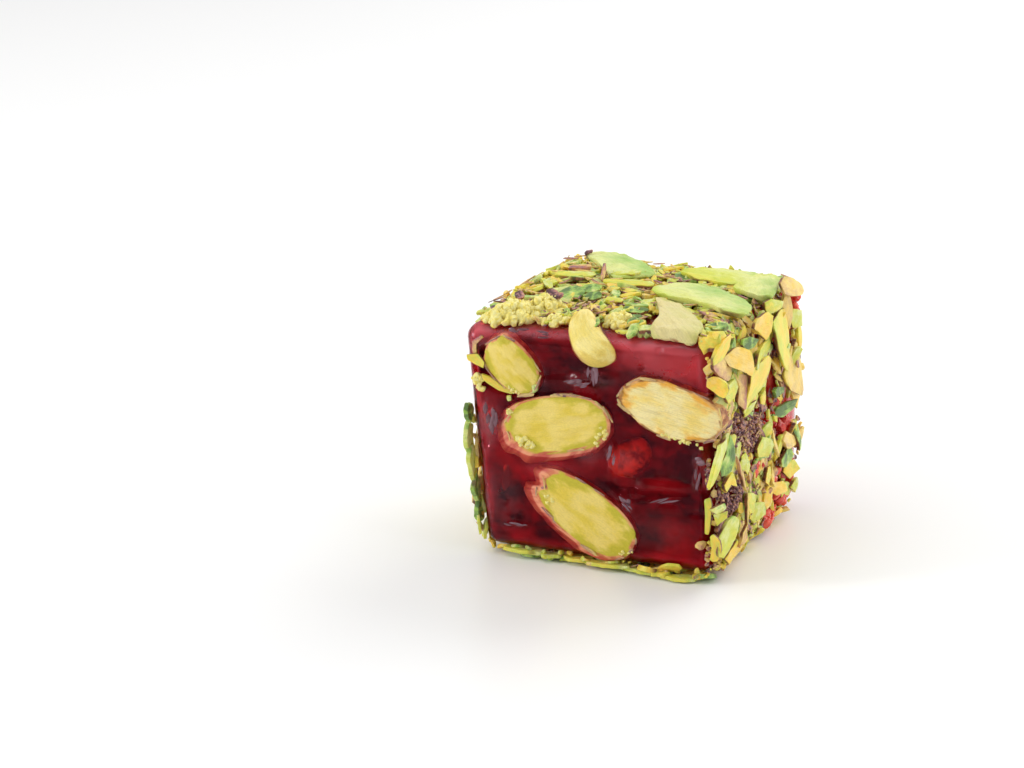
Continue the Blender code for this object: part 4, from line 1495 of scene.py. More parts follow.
# Shards whose outlines are known: side, tone, lift and the corners' places in the side's directions.
OUTLINED_SHARDS = (
    (RIGHT, ORANGE, 2, -6.2, 33.8, -4.3, 32.9, -2.6, 31.8, -0.6, 30.5, 1, 31.2, 0.9, 33.6, -1.2, 34.9,
     -5.6, 34.9), (RIGHT, YELLOW, 1.9, 2.2, 29.8, 3, 27.5, 4.8, 25.2, 7.1, 23.7, 8.2, 24.8, 9.1, 26.6, 9,
     30.4, 8.1, 32.7, 4.7, 33.2, 1.3, 32.5), (RIGHT, LIME, 1.6, 0.7, 34.3, 2.1, 33.5, 5.5, 33.4, 6.7, 34.1,
     2.1, 35.7, 0.4, 35.6), (RIGHT, GREEN, 1.7, -8.9, 32.2, -7.5, 31, -5.4, 30.8, -3.7, 31.5, -6.5, 32.7,
     -8.6, 32.9), (RIGHT, LIME, 1.8, 1.9, 29.8, -0.7, 30.2, -3.4, 29.6, -5.6, 28.8, -6.4, 27.9, -4, 27.7,
     -0.6, 28.2, 1.6, 28.8), (RIGHT, YELLOW, 2.1, -4.8, 28.4, -7.5, 28.2, -7.5, 26.8, -8.1, 24.7, -9.4,
     22.7, -8.6, 22.1, -5.9, 23.3, -2.5, 23.9, -0.3, 25.3, 0.2, 27.6, -1.5, 28.5),
    (RIGHT, PEACH, 2.2, -15.5, 32.2, -14.2, 30.6, -10.5, 28.7, -8.9, 27.8, -7.8, 28.5, -8.3, 31.3, -11.6,
     32.8), (RIGHT, YELLOW, 1.9, -13.4, 35.1, -17.1, 35.3, -19.2, 34.8, -20.5, 33.4, -20.2, 32.5, -16.6,
     32.3, -13.4, 33.1, -12.9, 34.1), (RIGHT, TAN, 1.5, -19.2, 32.6, -20.2, 32.1, -18.2, 30.5, -14.5, 28.6,
     -12.4, 29.2, -12.4, 30.2, -15, 32.1), (FRONT, ORANGE, 0.5, 16.8, 28.8, 18.6, 27.7, 19.6, 27.6, 20.2,
     28.8, 19.8, 29.8, 18, 30.5, 17, 30), (RIGHT, LIME, 1.9, -15.6, 28.2, -17.1, 27.5, -15, 25.6, -12.9,
     25.8, -11.8, 27.1, -12.9, 28.6), (FRONT, YELLOW, 0.5, 17.4, 34.8, 18.4, 34.5, 18.8, 35.3, 18.6, 36.3,
     17.2, 36.3, 16.6, 35.5), (RIGHT, YELLOW, 1.8, -19.4, 36, -16.8, 35.1, -15.3, 35.2, -16.8, 36.4, -20.4,
     37.3), (RIGHT, TAN, 1.5, -9.7, 26.4, -10.8, 24.3, -9.2, 22.8, -7.6, 25.3, -6.5, 27, -8.6, 27.9, -11.3,
     29.1), (FRONT, PEACH, 0.5, 16.8, 30.6, 17.6, 30.9, 18.4, 32.6, 18, 32.9, 16.4, 31.4),
    (RIGHT, PEACH, 1.5, 9.9, 25.1, 7.6, 22.8, 9.4, 20.2, 13.6, 18.1, 14.5, 18.7, 14.1, 24.7, 11.7, 25.8),
    (RIGHT, DEEP, 1.6, 5.7, 18.6, 4.5, 17.7, 7.4, 16.6, 10.9, 17.2, 12.1, 18.1, 9.2, 18.6),
    (RIGHT, YELLOW, 1.5, -2, 21.6, -0.3, 20.9, 0.9, 22.4, 0.2, 23.4, -2, 22.6),
    (RIGHT, DEEP, 1.4, 3.3, 21.8, 3.9, 20.6, 7.4, 20.4, 7.9, 21.1, 5, 21.9), (RIGHT, LIME, 1.5, 10.3, 30.4,
     11.6, 28.8, 13.7, 28.6, 13.4, 31, 10.4, 32), (RIGHT, PEACH, 1.9, 6.1, 35.4, 8.7, 34.3, 12.5, 33.5,
     13.9, 33.8, 12.8, 35.1, 9.2, 37, 6.4, 37.7, 4.9, 37.2), (RIGHT, LIME, 2, -19.8, 20.3, -21, 18.7,
     -21.8, 16.9, -21.5, 15.3, -19.9, 15.8, -17.6, 16.7, -16.5, 18.1, -14.2, 19.7, -14.8, 20.8, -19.3,
     21.1), (RIGHT, GREEN, 1.7, -14, 19.8, -15.1, 18.5, -17.1, 17.2, -16.8, 15.6, -14.6, 15.7, -12.8, 16.9,
     -12.5, 19, -13.4, 20.7), (RIGHT, YELLOW, 1.8, -16.5, 13.8, -15.4, 13, -14.3, 13.7, -12.5, 12.9, -13.7,
     15.4, -16.8, 14.5), (FRONT, YELLOW, 0.5, 16.6, 10.2, 16.6, 7.8, 17.1, 7.7, 17.3, 9, 17.5, 12.1, 17.3,
     13.1, 16.5, 12.8), (RIGHT, PALE, 2, -21.3, 12.4, -19.9, 11.3, -17.6, 11.1, -16.5, 11.2, -17.1, 12,
     -20.4, 12.5), (FRONT, LIME, 0.5, 18.1, 8.9, 18.6, 9.4, 19.7, 10.4, 19.9, 11.5, 18.8, 11, 17.7, 10.6),
    (RIGHT, DARK, 1.2, -17, 7.2, -14.4, 8.6, -15.6, 9.2, -18.4, 8.3), (FRONT, YELLOW, 1.3, 17.8, 6.1, 17.5,
     4.3, 18, 4, 18.7, 4.3, 19.2, 5.7, 19.1, 7.4, 18.3, 8.4, 17.7, 7.9), (RIGHT, LIME, 2.2, -19.3, 6.7,
     -19.6, 5.1, -18.5, 4.5, -16.5, 5.1, -14.2, 6.5, -13.3, 8.4, -14.7, 9.5, -18.7, 7.6),
    (RIGHT, ORANGE, 1.6, -14.4, 2.1, -11.5, 2.5, -9.7, 3.5, -11.4, 4.5, -16.1, 3.5),
    (RIGHT, LIME, 1.6, -7.6, 8.5, -6.7, 6.9, -4.4, 6.3, -2.6, 7.3, -4.4, 9.2, -7.3, 10.2),
    (RIGHT, LIME, 1.5, -10, 14.9, -8.8, 13.9, -7.6, 13.7, -7, 14.8, -8.8, 15.7),
    (RIGHT, LIME, 1.5, -3.5, 15.4, -2.3, 13.7, 1.3, 12.7, 3.1, 13.9, 1.6, 15.4, -1.7, 16.6),
    (RIGHT, PEACH, 1.4, 9, 11.3, 13.5, 10.6, 14.1, 11.5, 9, 14.1, 6.5, 13.5),
    (RIGHT, LIME, 1.8, -6.4, 23.1, -7.9, 22.7, -8.2, 21.5, -6.7, 21.5, -4.9, 22.2, -4.3, 22.9),
    (RIGHT, ORANGE, 1.4, 2.9, 7, 5.3, 5.5, 9.1, 5.1, 7.8, 6.9, 2.8, 8.1), (RIGHT, YELLOW, 1.4, 0.1, 9.5,
     1.9, 8.2, 3.5, 8.8, 2.5, 10.9, 0.4, 11.4), (RIGHT, GREEN, 1.4, 6.6, 9.4, 9.1, 8.6, 11.6, 9.4, 10.9,
     11.4, 6.5, 10.5), (RIGHT, YELLOW, 1.5, 8.4, 8, 10.4, 6.4, 13.4, 7, 12, 8.8, 9.4, 9.4),
    (RIGHT, LIME, 1.5, 11, 4.8, 13.8, 3, 15, 3.8, 13.2, 5.8), (RIGHT, GREEN, 1.4, 12.6, 12.8, 14.8, 9.2,
     15.6, 9.8, 14.8, 13.4), (RIGHT, LIME, 1.4, -5, 5.6, -3.2, 4.1, -0.2, 4.6, -0.8, 6.6, -4.4, 7.7),
    (FRONT, YELLOW, 0.7, -18.6, 29.7, -17, 29.9, -15.9, 28.9, -16, 28.1, -17.2, 28.4, -18.5, 28.9),
    (FRONT, YELLOW, 0.5, -16.3, 27.1, -15.2, 26.8, -13.6, 25.6, -12, 25, -12.2, 24.4, -14.2, 24.9, -16.1,
     26.2), (FRONT, PINK, 0.4, -17.9, 31.6, -16.6, 32.6, -16.2, 32.3, -17.2, 31.3, -17.3, 29.8, -17.9,
     29.7), (FRONT, PALE, 0.5, -12.9, 24.2, -12.2, 24.3, -12.1, 23.6, -12.7, 23.4),
    (FRONT, PALE, 0.5, -8.9, 26.2, -8, 26.5, -8.2, 25.4, -8.8, 25),
)

# The slices that are nodes: place, half length, half width, turn, tone, lift, slopes.
TOP_SLICES = (
    (-8.8, 11.1, 8, 4.2, -34, 0.83, 1.7, 0, 0.02), (10.6, -1.1, 9.1, 4, -22, 0.83, 1.9, 0, -0.02),
    (8.5, -11.5, 9.2, 3.9, -50, 0.775, 1.5, -0.01, 0), (7.2, 11.2, 5.6, 3.4, -10, 0.72, 1.7, 0, 0.04),
    (15, 6.2, 4.9, 3.5, -60, 0.8, 2.2, 0.02, 0.06),
)


def near_tone(tone: Tone, number: int) -> float:
    """Varies a named tone a little from piece to piece."""
    return min(max(tone.value + 0.03 * sin(number * 2.4), 0.0), 1.0)


@dataclass(frozen=True)
class WholeKernel:
    """A whole kernel by its own three directions."""

    middle: Triple
    length_way: Triple
    width_way: Triple
    long: float
    wide: float
    thick: float
    bend: float = 0.0
    taper: float = 0.0
    skin: float = 0.0
    side_skin: float = 0.0
    full: float = 2.3
    around: int = 40
    rings: int = 34
    seed: int = 0

    def mesh(self) -> Shaped:
        """Builds the kernel with fine ridges along it."""
        way = Vector(self.length_way).normalized()
        width = Vector(self.width_way)
        width = (width - way * way.dot(width)).normalized()
        frame_axes = np.array([way, width, way.cross(width)])
        bows = np.arange(1, self.rings) * pi / self.rings
        turn = np.arange(self.around) * TAU / self.around
        t, a = [part.ravel() for part in np.meshgrid(bows, turn, indexing="ij")]
        unit = np.c_[-np.cos(t), np.sin(t) * np.cos(a), np.sin(t) * np.sin(a)]
        unit = np.concatenate([[[-1.0, 0, 0]], unit, [[1.0, 0, 0]]])
        size = (np.abs(unit) ** self.full).sum(axis=1) ** (-1 / self.full)
        unit = unit * size[:, None]
        ridges = waver(unit * np.array([0.8, 6.0, 6.0]), 1.0, self.seed)
        dents = waver(unit, 0.7, self.seed + 1)
        swell = 1 + 0.03 * ridges + 0.02 * dents
        local = unit * np.array([self.long, self.wide, self.thick])
        local[:, 1:] *= swell[:, None]
        local[:, 1] *= 1 - self.taper * unit[:, 0]
        local[:, 1] += self.bend * self.wide * (1 - (unit[:, 0] - 0.15) ** 2)
        points = np.array(self.middle) + local @ frame_axes
        side_skin = ease(np.abs(unit[:, 1]) + 0.12 * dents, 0.82, 0.95) * self.side_skin
        values = {"kernel_place": unit * np.array([0.9, 0.62, 0.62]),
                  "skin": np.maximum(self.skin, side_skin),
                  "tone": np.full(len(points), self.seed * 0.3)}
        return points, closed_faces(self.rings - 1, self.around), values


EDGE_KERNEL = WholeKernel((-0.4, -15.9, 33.3), (-0.588, 0.60, 0.54), (0.79, 0.41, 0.42),
                          4.75, 2.35, 2.1, bend=-0.5, taper=0.14, side_skin=0.4, full=2.8, seed=5)
SUNK_KERNELS = (
    WholeKernel((4.9, -14.7, 16.6), (0.85, 0.1, 0.5), (-0.5, 0.1, 0.85), 3.6, 2.6, 2.6, skin=1, seed=21),
    WholeKernel((-14.6, -13.8, 12.4), (0.1, 0.2, 0.95), (0.95, 0.1, -0.1), 4.6, 1.9, 2.2, skin=1, seed=25),
    WholeKernel((-4, 14, 17.8), (0.7, 0.1, 0.7), (-0.7, 0.1, 0.7), 4.6, 2.6, 2.4, skin=1, seed=26),
    WholeKernel((13, 14, 8.4), (0.2, 0.1, 0.95), (0.95, 0.1, -0.2), 4.4, 2.2, 2.4, skin=1, seed=27),
)


def crumb(size: float, seed: int) -> Shaped:
    """Makes one lumpy crumb about its middle.

    Args:
        size: Its radius in millimetres.
        seed: Chooses its shape.

    Returns:
        Points, faces and the flesh attributes.
    """
    bm = bmesh.new()
    bmesh.ops.create_icosphere(bm, subdivisions=2, radius=1.0)
    points = np.array([vert.co for vert in bm.verts])
    faces = [tuple(vert.index for vert in face.verts) for face in bm.faces]
    bm.free()
    bumps = 1 + 0.3 * waver(points, 0.8, seed) + 0.2 * waver(points, 0.35, seed + 3)
    squash = np.array([1.0, 0.85 + 0.1 * sin(seed * 1.7), 0.75 + 0.12 * cos(seed * 2.3)])
    points = points * bumps[:, None] * squash
    values = {"kernel_place": points * 0.55, "skin": np.zeros(len(points))}
    return points * size, faces, values


@dataclass(frozen=True)
class CrumbHeap:
    """A patch of crumbs heaped on a side: middle, half sizes, turn, how many, how big, how high."""

    side: Side
    along: float
    up: float
    reach: Pair
    turn: float
    count: int
    sizes: Pair
    height: float
    tones: Pair
    seed: int
    base: float = 0.2

    def meshes(self) -> list:
        """Builds the crumbs in their places on the cube."""
        rng = np.random.default_rng(self.seed)
        made = []
        for number in range(self.count):
            angle, far = rng.uniform(0, TAU), sqrt(rng.uniform())
            a, b = far * cos(angle) * self.reach[0], far * sin(angle) * self.reach[1]
            high = self.base + self.height * (1 - far ** 2) * rng.uniform(0.3, 1.0)
            size = rng.uniform(*self.sizes)
            points, faces, values = crumb(size, self.seed * 50 + number)
            spin = np.array(Euler(rng.uniform(0, TAU, 3)).to_matrix())
            points = points @ spin.T
            across, up = turned(a, b, self.turn)
            placed = JellyForm.on_side(self.side, self.along + (across + points[:, 0]),
                                       self.up + (up + points[:, 1]), high + points[:, 2])
            values["tone"] = np.full(len(points), rng.uniform(*self.tones))
            made.append((placed, faces, values))
        return made


PALE_HEAPS = tuple(CrumbHeap(*row) for row in (
    (TOP, -13.6, -14, (3.9, 2.8), 25, 230, (0.3, 0.85), 2.3, (0.1, 0.9), 1),
    (TOP, -10, -10.8, (3, 2.4), 10, 150, (0.3, 0.8), 2.5, (0.1, 0.9), 14),
    (TOP, -6.6, -14.6, (2.6, 1), 0, 36, (0.3, 0.7), 0.9, (0.1, 0.9), 23),
    (TOP, 2, -12.9, (2.2, 1.7), -20, 80, (0.3, 0.75), 1.8, (0.1, 0.9), 2),
    (FRONT, -16.9, 25.7, (0.8, 1.2), 20, 14, (0.3, 0.6), 0.3, (0, 1), 22, 0.3),
    (FRONT, -10.1, 17.8, (1.3, 0.8), 0, 26, (0.22, 0.5), 0.3, (0, 1), 15, 0.4),
    (FRONT, 1.2, 20, (0.8, 1.6), -20, 14, (0.2, 0.4), 0.2, (0, 1), 16, 0.45),
    (FRONT, -12.4, 22.2, (0.5, 0.7), 0, 6, (0.2, 0.4), 0.2, (0, 1), 17, 0.4),
    (FRONT, 13.2, 20.7, (3.2, 0.35), -12, 18, (0.15, 0.35), 0.2, (0, 1), 18, 0.35),
    (FRONT, -6.9, 9.6, (0.8, 0.6), -30, 8, (0.2, 0.4), 0.2, (0, 1), 19, 0.4),
    (FRONT, 4.4, 3.2, (1.4, 0.3), 10, 9, (0.15, 0.3), 0.2, (0, 1), 20, 0.35),
    (FRONT, -11.8, 25.3, (1.2, 0.5), -20, 10, (0.2, 0.4), 0.2, (0, 1), 21, 0.35),
))
CRUMB_HEAPS = tuple(CrumbHeap(*row) for row in (
    (TOP, -7.2, -12.4, (2.2, 0.9), 5, 22, (0.3, 0.55), 0.8, (0.66, 0.86), 3),
    (TOP, 6.2, -15.2, (2.2, 1), 0, 22, (0.3, 0.6), 0.8, (0.66, 0.9), 4),
    (TOP, 13.6, -7.4, (2.4, 1.4), -30, 34, (0.25, 0.5), 0.9, (0, 0.3), 5),
    (TOP, 15.2, -14.6, (1.6, 2.4), 0, 30, (0.3, 0.55), 0.9, (0.3, 0.75), 6),
    (RIGHT, -11.8, 10.8, (4.9, 2.7), -8, 170, (0.2, 0.42), 0.9, (0, 0.07), 7, 0.5),
    (RIGHT, -9, 20, (2.4, 2.8), 0, 80, (0.2, 0.4), 0.9, (0, 0.12), 8, 0.5),
    (RIGHT, -3.6, 17.8, (4.8, 3), -12, 190, (0.16, 0.38), 0.7, (0.01, 0.12), 24, 0.5),
    (RIGHT, -4.4, 18, (4.6, 3), -12, 30, (0.12, 0.25), 0.9, (0.14, 0.2), 25, 0.8),
    (RIGHT, -14, 2.4, (2.8, 0.8), 0, 26, (0.3, 0.5), 1, (0.1, 0.6), 9),
    (FRONT, 16.9, 16, (0.35, 2.6), 0, 20, (0.2, 0.4), 0.4, (0, 0.2), 26, -0.2),
    (FRONT, 16.9, 10.6, (0.4, 1.6), 0, 12, (0.2, 0.42), 0.4, (0, 0.3), 27, -0.2),
    (FRONT, 16.9, 4.2, (0.4, 2.4), 0, 16, (0.2, 0.42), 0.4, (0, 0.6), 28, -0.2),
    (FRONT, 16.9, 31, (0.4, 1.8), 0, 12, (0.2, 0.42), 0.4, (0, 0.5), 29, -0.2),
    (FRONT, 15.9, 5.6, (0.3, 0.3), 0, 1, (0.8, 0.85), 0.2, (0.24, 0.26), 12),
    (FRONT, 15, 2.2, (0.3, 0.3), 0, 2, (0.35, 0.4), 0.2, (0.5, 0.6), 13),
))

# Where lumps of coral-red gel bulge between the shards of the right side.
GEL_HEAPS = tuple(CrumbHeap(*row) for row in (
    (RIGHT, -1.2, 12, (2, 1.5), 0, 14, (0.4, 0.9), 0.5, (0.2, 1), 31),
    (RIGHT, 10.4, 6.6, (4.8, 4.2), -20, 44, (0.4, 1.1), 0.3, (0.2, 1), 32, 0.1),
    (RIGHT, 4.4, 2.8, (3, 1.4), 0, 16, (0.4, 0.9), 0.3, (0.3, 1), 33, 0.1),
    (RIGHT, 7.6, 15.8, (5, 3.4), -15, 34, (0.5, 1.1), 0.2, (0, 0.5), 34, 0.1),
    (RIGHT, 5.4, 28.2, (1.2, 1.4), 0, 8, (0.4, 0.8), 0.6, (0.3, 0.9), 35, 0.4),
    (RIGHT, 15.2, 31.6, (1.2, 2.2), 0, 10, (0.5, 0.9), 0.3, (0.3, 1), 36, 0.1),
))


@dataclass(frozen=True)
class GlintStreaks:
    """A patch of thin pale streaks laid on the front face as painted glints: middle, half sizes, turn, how
    many, sizes.
    """

    across: float
    up: float
    reach: Pair
    turn: float
    count: int
    long: Pair
    wide: Pair
    tones: Pair
    seed: int

    def meshes(self) -> list:
        """Builds the streaks in their places on the cube."""
        rng = np.random.default_rng(self.seed)
        made = []
        for number in range(self.count):
            slab = Slab(LENS, 0.8 * rng.uniform(*self.long), 1.7 * rng.uniform(*self.wide),
                        thick=0.12, dome=0.02, rough=0.03, ragged=0.4, sharp=0.3, points=18, rings=2,
                        skinned=0.0, seed=self.seed * 40 + number)
            x = self.across + rng.uniform(-1, 1) * self.reach[0]
            z = self.up + rng.uniform(-1, 1) * self.reach[1]
            made.append(Laid(FRONT, slab, x, z, self.turn + rng.uniform(-9, 9),
                             rng.uniform(*self.tones), 0.34).mesh())
        return made


# Patches of painted glints: pale flakes laid flush on the front face where the gel would shine.
PAINTED_GLINTS = tuple(GlintStreaks(*row) for row in (
    (-15.4, 20.6, (1.2, 1.5), 84, 9, (0.7, 2), (0.1, 0.28), (0, 0.45), 1),
    (-2.6, 27.2, (2.2, 0.5), 14, 10, (0.5, 1.4), (0.06, 0.2), (0.1, 0.7), 2),
    (0.3, 28.6, (0.8, 0.5), 86, 9, (0.6, 1.5), (0.08, 0.22), (0.3, 1), 3),
    (15.5, 18, (0.5, 0.4), 10, 6, (0.4, 0.9), (0.1, 0.25), (0.3, 1), 4),
    (15.4, 15.2, (0.4, 1), 78, 6, (0.5, 1.3), (0.06, 0.14), (0.2, 0.8), 5),
    (4.8, 10.4, (0.6, 0.7), -40, 8, (0.4, 0.9), (0.08, 0.2), (0.2, 0.9), 6),
    (10.2, 11.6, (1.4, 0.12), 19, 4, (1.2, 2.4), (0.05, 0.09), (0.4, 0.9), 7),
    (2.7, 17.6, (0.5, 1.2), 70, 8, (0.4, 1.4), (0.05, 0.12), (0.4, 1), 8),
    (-12, 5, (1.4, 0.5), -12, 5, (0.4, 1), (0.05, 0.1), (0.2, 0.7), 9),
    (-9.6, 33.6, (4, 0.5), 2, 6, (0.5, 1.4), (0.06, 0.14), (0, 0.4), 10),
))


@dataclass(frozen=True)
class Toppings:
    """The pieces that have places of their own, and the heaps of crumbs."""

    block: Block

    def lay(self, name: str, shapes: Sequence[Shaped], finish: Material, slot: str,
            crisp: float | None = None, nodes: Sequence[str] = ()) -> None:
        """Joins shapes and settles them as one piece."""
        settle(joined(name, self.block, shapes, finish, crisp), slot, nodes)

    def slices(self, finish: Material, cream: Material) -> None:
        """Lays the large slices on the top; the third is the cream one."""
        for number, row in enumerate(TOP_SLICES, start=1):
            x, y, long, wide, turn, tone, lift, *slope = row
            slab = Slab(SLICES[number - 1], long, wide, thick=0.85, dome=0.22, rough=0.16,
                        ragged=0.02, sharp=0.25, points=64, rings=12, seed=40 + number)
            laid = Laid(TOP, slab, x, y, turn, tone, lift, tuple(slope))
            self.lay(f"slice_{number}", [laid.mesh()], cream if number == 3 else finish,
                     "green_slice", CUT_CRISP, [f"top_slice_{number}"])

    def slivers(self, finish: Material) -> None:
        """Lays the larger slivers as one piece."""
        shapes = []
        for number, row in enumerate(LARGE_SLIVERS):
            side, shape, along, up, long, wide, turn, tone, lift, *slope = row
            thick = 0.5 if side is UNDER or wide < 0.5 else 0.65
            slab = Slab(shape, long, wide, thick=0.3 if tone is DARK else thick, dome=0.05,
                        rough=0.09, ragged=0.12, sharp=0.85, points=34, rings=5,
                        heart=(number % 3) * 0.45, seed=100 + number,
                        skinned=0.15 if side in (UNDER, LEFT) else 0.55)
            shapes.append(Laid(side, slab, along, up, turn, near_tone(tone, number), lift,
                               tuple(slope) or (0.0, 0.0)).mesh())
        for number, (side, tone, lift, *outline) in enumerate(OUTLINED_SHARDS):
            shapes.append(Laid.from_outline(side, np.reshape(outline, (-1, 2)),
                                            near_tone(tone, number), lift, 200 + number).mesh())
        self.lay("large_slivers", shapes, finish, "nut_slivers", CUT_CRISP, ["nut_coating"])

    def edge_kernel(self, finish: Material) -> None:
        """Sets the kidney-shaped kernel on the upper edge."""
        self.lay("edge_kernel", [EDGE_KERNEL.mesh()], finish, "cut_kernel", nodes=["kernel_edge"])

    def sunk_kernels(self, finish: Material) -> None:
        """Sets the kernels that show dimly through the jelly."""
        self.lay("sunk_kernels", [kernel.mesh() for kernel in SUNK_KERNELS], finish, "cut_kernel")

    def crumbs(self, name: str, heaps: Sequence[CrumbHeap], finish: Material,
               slot: str = "nut_slivers") -> None:
        """Heaps crumbs of one kind."""
        self.lay(name, [shape for heap in heaps for shape in heap.meshes()], finish, slot,
                 CRUMB_CRISP)

    def smears(self, finish: Material) -> None:
        """Lays the streaks that paint glints on the gel."""
        self.lay("dried_syrup", [shape for glint_patch in PAINTED_GLINTS for shape in glint_patch.meshes()], finish,
                 "red_jelly")

    def skin_flakes(self, finish: Material) -> None:
        """Sets thin curled flakes of skin round the kernels of both cut faces."""
        rng = np.random.default_rng(77)
        shapes = []
        for form in FRONT_KERNELS + BACK_KERNELS:
            rim = form.rim_points(self.block, 90)
            for number in range(12):
                k = int(rng.integers(90))
                way = rim[(k + 2) % 90] - rim[k - 2]
                turn = degrees(atan2(way[1], way[0])) + rng.uniform(-12, 12)
                slab = Slab(STRIP, rng.uniform(0.5, 1.5), rng.uniform(0.12, 0.28), thick=0.1,
                            curl=rng.uniform(-0.1, 0.3), ragged=0.2, sharp=0.7, points=14, rings=1,
                            rough=0.1, skinned=0.6, seed=300 + number)
                side = FRONT if form.side < 0 else BACK
                shapes.append(Laid(side, slab, rim[k][0], rim[k][1], turn, rng.uniform(0.08, 0.3),
                                   rng.uniform(0.25, 0.55)).mesh())
        self.lay("rim_skin", shapes, finish, "nut_slivers")


# ---- the studio

@dataclass(frozen=True)
class Studio:
    """A pale table, soft lights and the camera."""

    azimuth: float = 25.29
    elevation: float = 17.75
    roll: float = -1.41
    distance: float = 443.2
    aim_right: float = -19.28
    aim_up: float = 20.75
    lens: float = 107.7

    def table(self) -> None:
        """Lays the pale table."""
        look = Look("pale_table")
        tone = look.spread(look.noise(look.place(), 9.0), 0.3, 0.7, 0.96, 1.0)
        colour = look.blend(tone, (0.9, 0.898, 0.892), (0.94, 0.939, 0.936))
        bpy.ops.mesh.primitive_plane_add(size=6.0)
        floor = bpy.context.object
        floor.name = "table"
        floor.data.materials.append(look.dress(base_color=colour, roughness=0.34))

    def softbox(self, name: str, place: Triple, size: float, power: float) -> None:
        """Hangs a square softbox that looks at the cube.

        Args:
            name: The lamp's name.
            place: Where it hangs, in metres.
            size: Its side, in metres.
            power: Watts.
        """
        lamp = bpy.data.lights.new(name, "AREA")
        lamp.size = size
        lamp.energy = power
        held = bpy.data.objects.new(name, lamp)
        held.location = place
        aim = Vector((0, 0, 0.018)) - Vector(place)
        held.rotation_euler = aim.to_track_quat("-Z", "Y").to_euler()
        bpy.context.scene.collection.objects.link(held)

    def lights(self) -> None:
        """Lights the room evenly, with a window behind and a softbox above."""
        world = bpy.data.worlds.new("pale_room")
        world.use_nodes = True
        tree = Tree(world.node_tree)
        where = tree.add("ShaderNodeTexCoord").outputs["Generated"]
        depth = tree.add("ShaderNodeSeparateXYZ", vector=where).outputs[1]
        colour = tree.blend(tree.spread(depth, -0.75, 0.35), (0.62, 0.62, 0.62), (1.0, 1.0, 1.0))
        tree.fill(world.node_tree.nodes["Background"], {"color": colour, "strength": 0.66})
        bpy.context.scene.world = world
        self.softbox("window_behind", (0.25, 0.55, 0.45), 0.5, 3.0)
        self.softbox("softbox_above", (-0.2, -0.1, 0.6), 0.45, 1.0)
        self.softbox("softbox_left", (-0.68, -0.42, 0.28), 0.16, 2.8)
        self.softbox("window_right", (0.7, -0.05, 0.3), 0.3, 1.2)

    def camera(self, block: Block) -> None:
        """Sets the camera at its angle, looking past the cube's left."""
        turn, rise = radians(self.azimuth), radians(self.elevation)
        back = Vector((sin(turn) * cos(rise), -cos(turn) * cos(rise), sin(rise)))
        right = Vector((cos(turn), sin(turn), 0.0))
        up = back.cross(right)
        lean = Matrix.Rotation(radians(self.roll), 3, back)
        right, up = lean @ right, lean @ up
        spot = back * self.distance + right * self.aim_right + up * self.aim_up
        lens = bpy.data.cameras.new("camera")
        lens.lens = self.lens
        lens.clip_start = 0.01
        camera = bpy.data.objects.new("camera", lens)
        camera.matrix_world = Matrix.Translation(Vector(block.metres(np.array(spot)))) @ Matrix(
            (right, up, back)).transposed().to_4x4()
        bpy.context.scene.collection.objects.link(camera)
        bpy.context.scene.camera = camera
        bpy.context.scene.view_settings.view_transform = "Standard"


SHARDS = tuple(
    Slab(shape, long, wide, thick=thick, curl=curl, rough=0.1, ragged=0.1, sharp=0.8,
         points=11, rings=2, heart=heart, skinned=0.25, seed=number)
    for number, (shape, long, wide, thick, curl, heart) in enumerate((
        (LENS, 3, 1.3, 0.55, 0.2, 0.6), (STRIP, 2.6, 0.8, 0.5, -0.1, 0),
        (WEDGE, 2.4, 1.6, 0.6, 0, 0.8), (LEAF, 2.9, 1.3, 0.5, 0.2, 1),
        (HALF, 2.5, 1.4, 0.6, 0, 0.5), (CHIP, 1.8, 1.4, 0.7, 0, 0.2),
        (STRIP, 3.2, 0.9, 0.5, 0.2, 0.4), (WEDGE, 3, 1.2, 0.5, -0.1, 0.3),
        (CHIP, 2.2, 1.2, 0.6, 0.1, 0.9), (LENS, 2, 1, 0.5, 0, 0),
        (LEAF, 1.9, 1.4, 0.6, -0.1, 0.6),
    ))
)
CHIPS = tuple(
    Slab(shape, long, wide, thick=0.5, curl=curl, rough=0.1, ragged=0.12, sharp=0.7,
         points=9, rings=2, heart=heart, skinned=0.2, seed=40 + number)
    for number, (shape, long, wide, curl, heart) in enumerate((
        (CHIP, 1.3, 1, 0.1, 0.4), (WEDGE, 1.6, 0.9, 0, 0.2),
        (LEAF, 1.8, 0.8, 0.2, 0.8), (HALF, 1.5, 0.8, 0, 0.5),
        (CHIP, 0.9, 0.8, 0, 0), (STRIP, 1.9, 0.4, 0.1, 0.3),
        (OVAL, 1.1, 0.8, 0.1, 0.6), (LENS, 2.1, 0.8, 0.2, 0.9),
    ))
)


def recut(long: float, wide: float, **changes) -> list[Slab]:
    """Cuts the chips again, longer and wider by two factors and otherwise changed."""
    return [replace(slab, long=slab.long * long, wide=slab.wide * wide, rings=1, **changes)
            for slab in CHIPS]


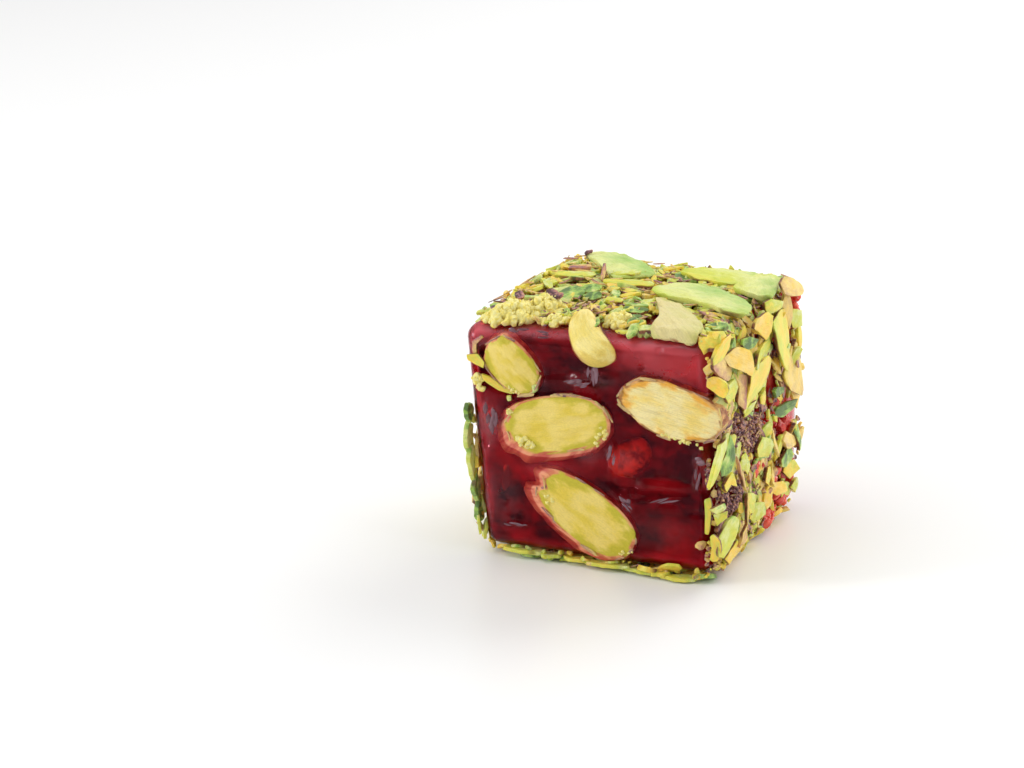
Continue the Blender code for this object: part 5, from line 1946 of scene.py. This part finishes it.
STREWN = (
    ("side_shards", SHARDS,
     Scatter(Zone.SIDES, 1.35, 0.28, 0.6, 1.15, 18, 60, 0.5, 1.3, 0.26, 0.9, 3)),
    ("top_chips", CHIPS,
     Scatter(Zone.TOP, 0.85, 0.6, 0.55, 1.25, 20, 180, 0.4, 1.3, 0.44, 0.88, 4)),
    ("top_threads", [replace(slab, wide=0.24)
                     for slab in recut(1.1, 1.0, thick=0.2, curl=0.1, points=8)],
     Scatter(Zone.TOP, 1.4, 0.18, 0.5, 1.0, 6, 60, 1.0, 1.5, 0.06, 0.36, 7)),
    ("fine_bits", recut(0.5, 0.6, points=7),
     Scatter(Zone.TOP, 0.7, 0.6, 0.5, 1.2, 40, 180, 0.1, 1.1, 0.1, 0.9, 5)),
    ("skin_flakes", recut(0.6, 0.6, thick=0.15, curl=0.3, points=8),
     Scatter(Zone.SKIN, 0.6, 0.9, 0.5, 1.2, 24, 180, 0.2, 1.1, 0.0, 0.16, 9)),
    ("side_bits", recut(0.6, 0.6, points=7),
     Scatter(Zone.SIDES, 0.8, 0.7, 0.5, 1.2, 30, 180, 0.3, 1.2, 0.14, 0.86, 10)),
)


@dataclass(frozen=True)
class Coat:
    """The coating: strewn slivers, crumbs and flakes of skin, and the pieces laid one by one."""

    block: Block
    finish: Material
    slice_finish: Material
    cream_finish: Material

    def build(self) -> None:
        """Builds the strewn pieces, the larger slivers and the slices."""
        sower = SliverField(self.block)
        for name, slabs, scatter in STREWN:
            sower.strew(name, slabs, scatter, self.finish,
                        ["nut_coating"] if name == "side_shards" else [])
        laid = Toppings(self.block)
        laid.slivers(self.finish)
        laid.slices(self.slice_finish, self.cream_finish)


def main() -> None:
    """Builds the cube's pieces in order, then the studio."""
    logging.basicConfig(level=logging.INFO, format="%(name)s: %(message)s")
    block = Block.from_frame()
    flesh = nut_flesh_group()
    jelly = Jelly(block, FRONT_KERNELS + BACK_KERNELS)
    jelly.build()
    jelly.build_heart()
    maker = KernelMaker(jelly)
    kernel_look = KERNEL_FINISH.build("cut_kernel", flesh)
    edge_look = EDGE_FINISH.build("edge_kernel", flesh)
    almond_look = ALMOND_FINISH.build("pale_kernel", flesh)
    for form in jelly.kernels:
        maker.build(form, almond_look if form.node == "kernel_front_3" else kernel_look)
    toppings = Toppings(block)
    toppings.edge_kernel(edge_look)
    toppings.sunk_kernels(SUNK_FINISH.build("sunk_kernel", flesh))
    coat = Coat(block, SliverFinish().build("nut_slivers", flesh),
                SLICE_FINISH.build("green_slice", flesh), CREAM_FINISH.build("cream_slice", flesh))
    coat.build()
    toppings.crumbs("heaped_crumbs", CRUMB_HEAPS, coat.finish)
    toppings.crumbs("pale_crumbs", PALE_HEAPS, CRUMB_FINISH.build("pale_crumbs", flesh))
    coral = StreakedFinish(paint(186, 30, 34), paint(246, 104, 78)).build("gel_lump")
    toppings.crumbs("gel_lumps", GEL_HEAPS, coral, "red_jelly")
    toppings.skin_flakes(coat.finish)
    toppings.smears(StreakedFinish().build())
    studio = Studio()
    studio.table()
    studio.lights()
    studio.camera(block)


if __name__ == "__main__":
    main()
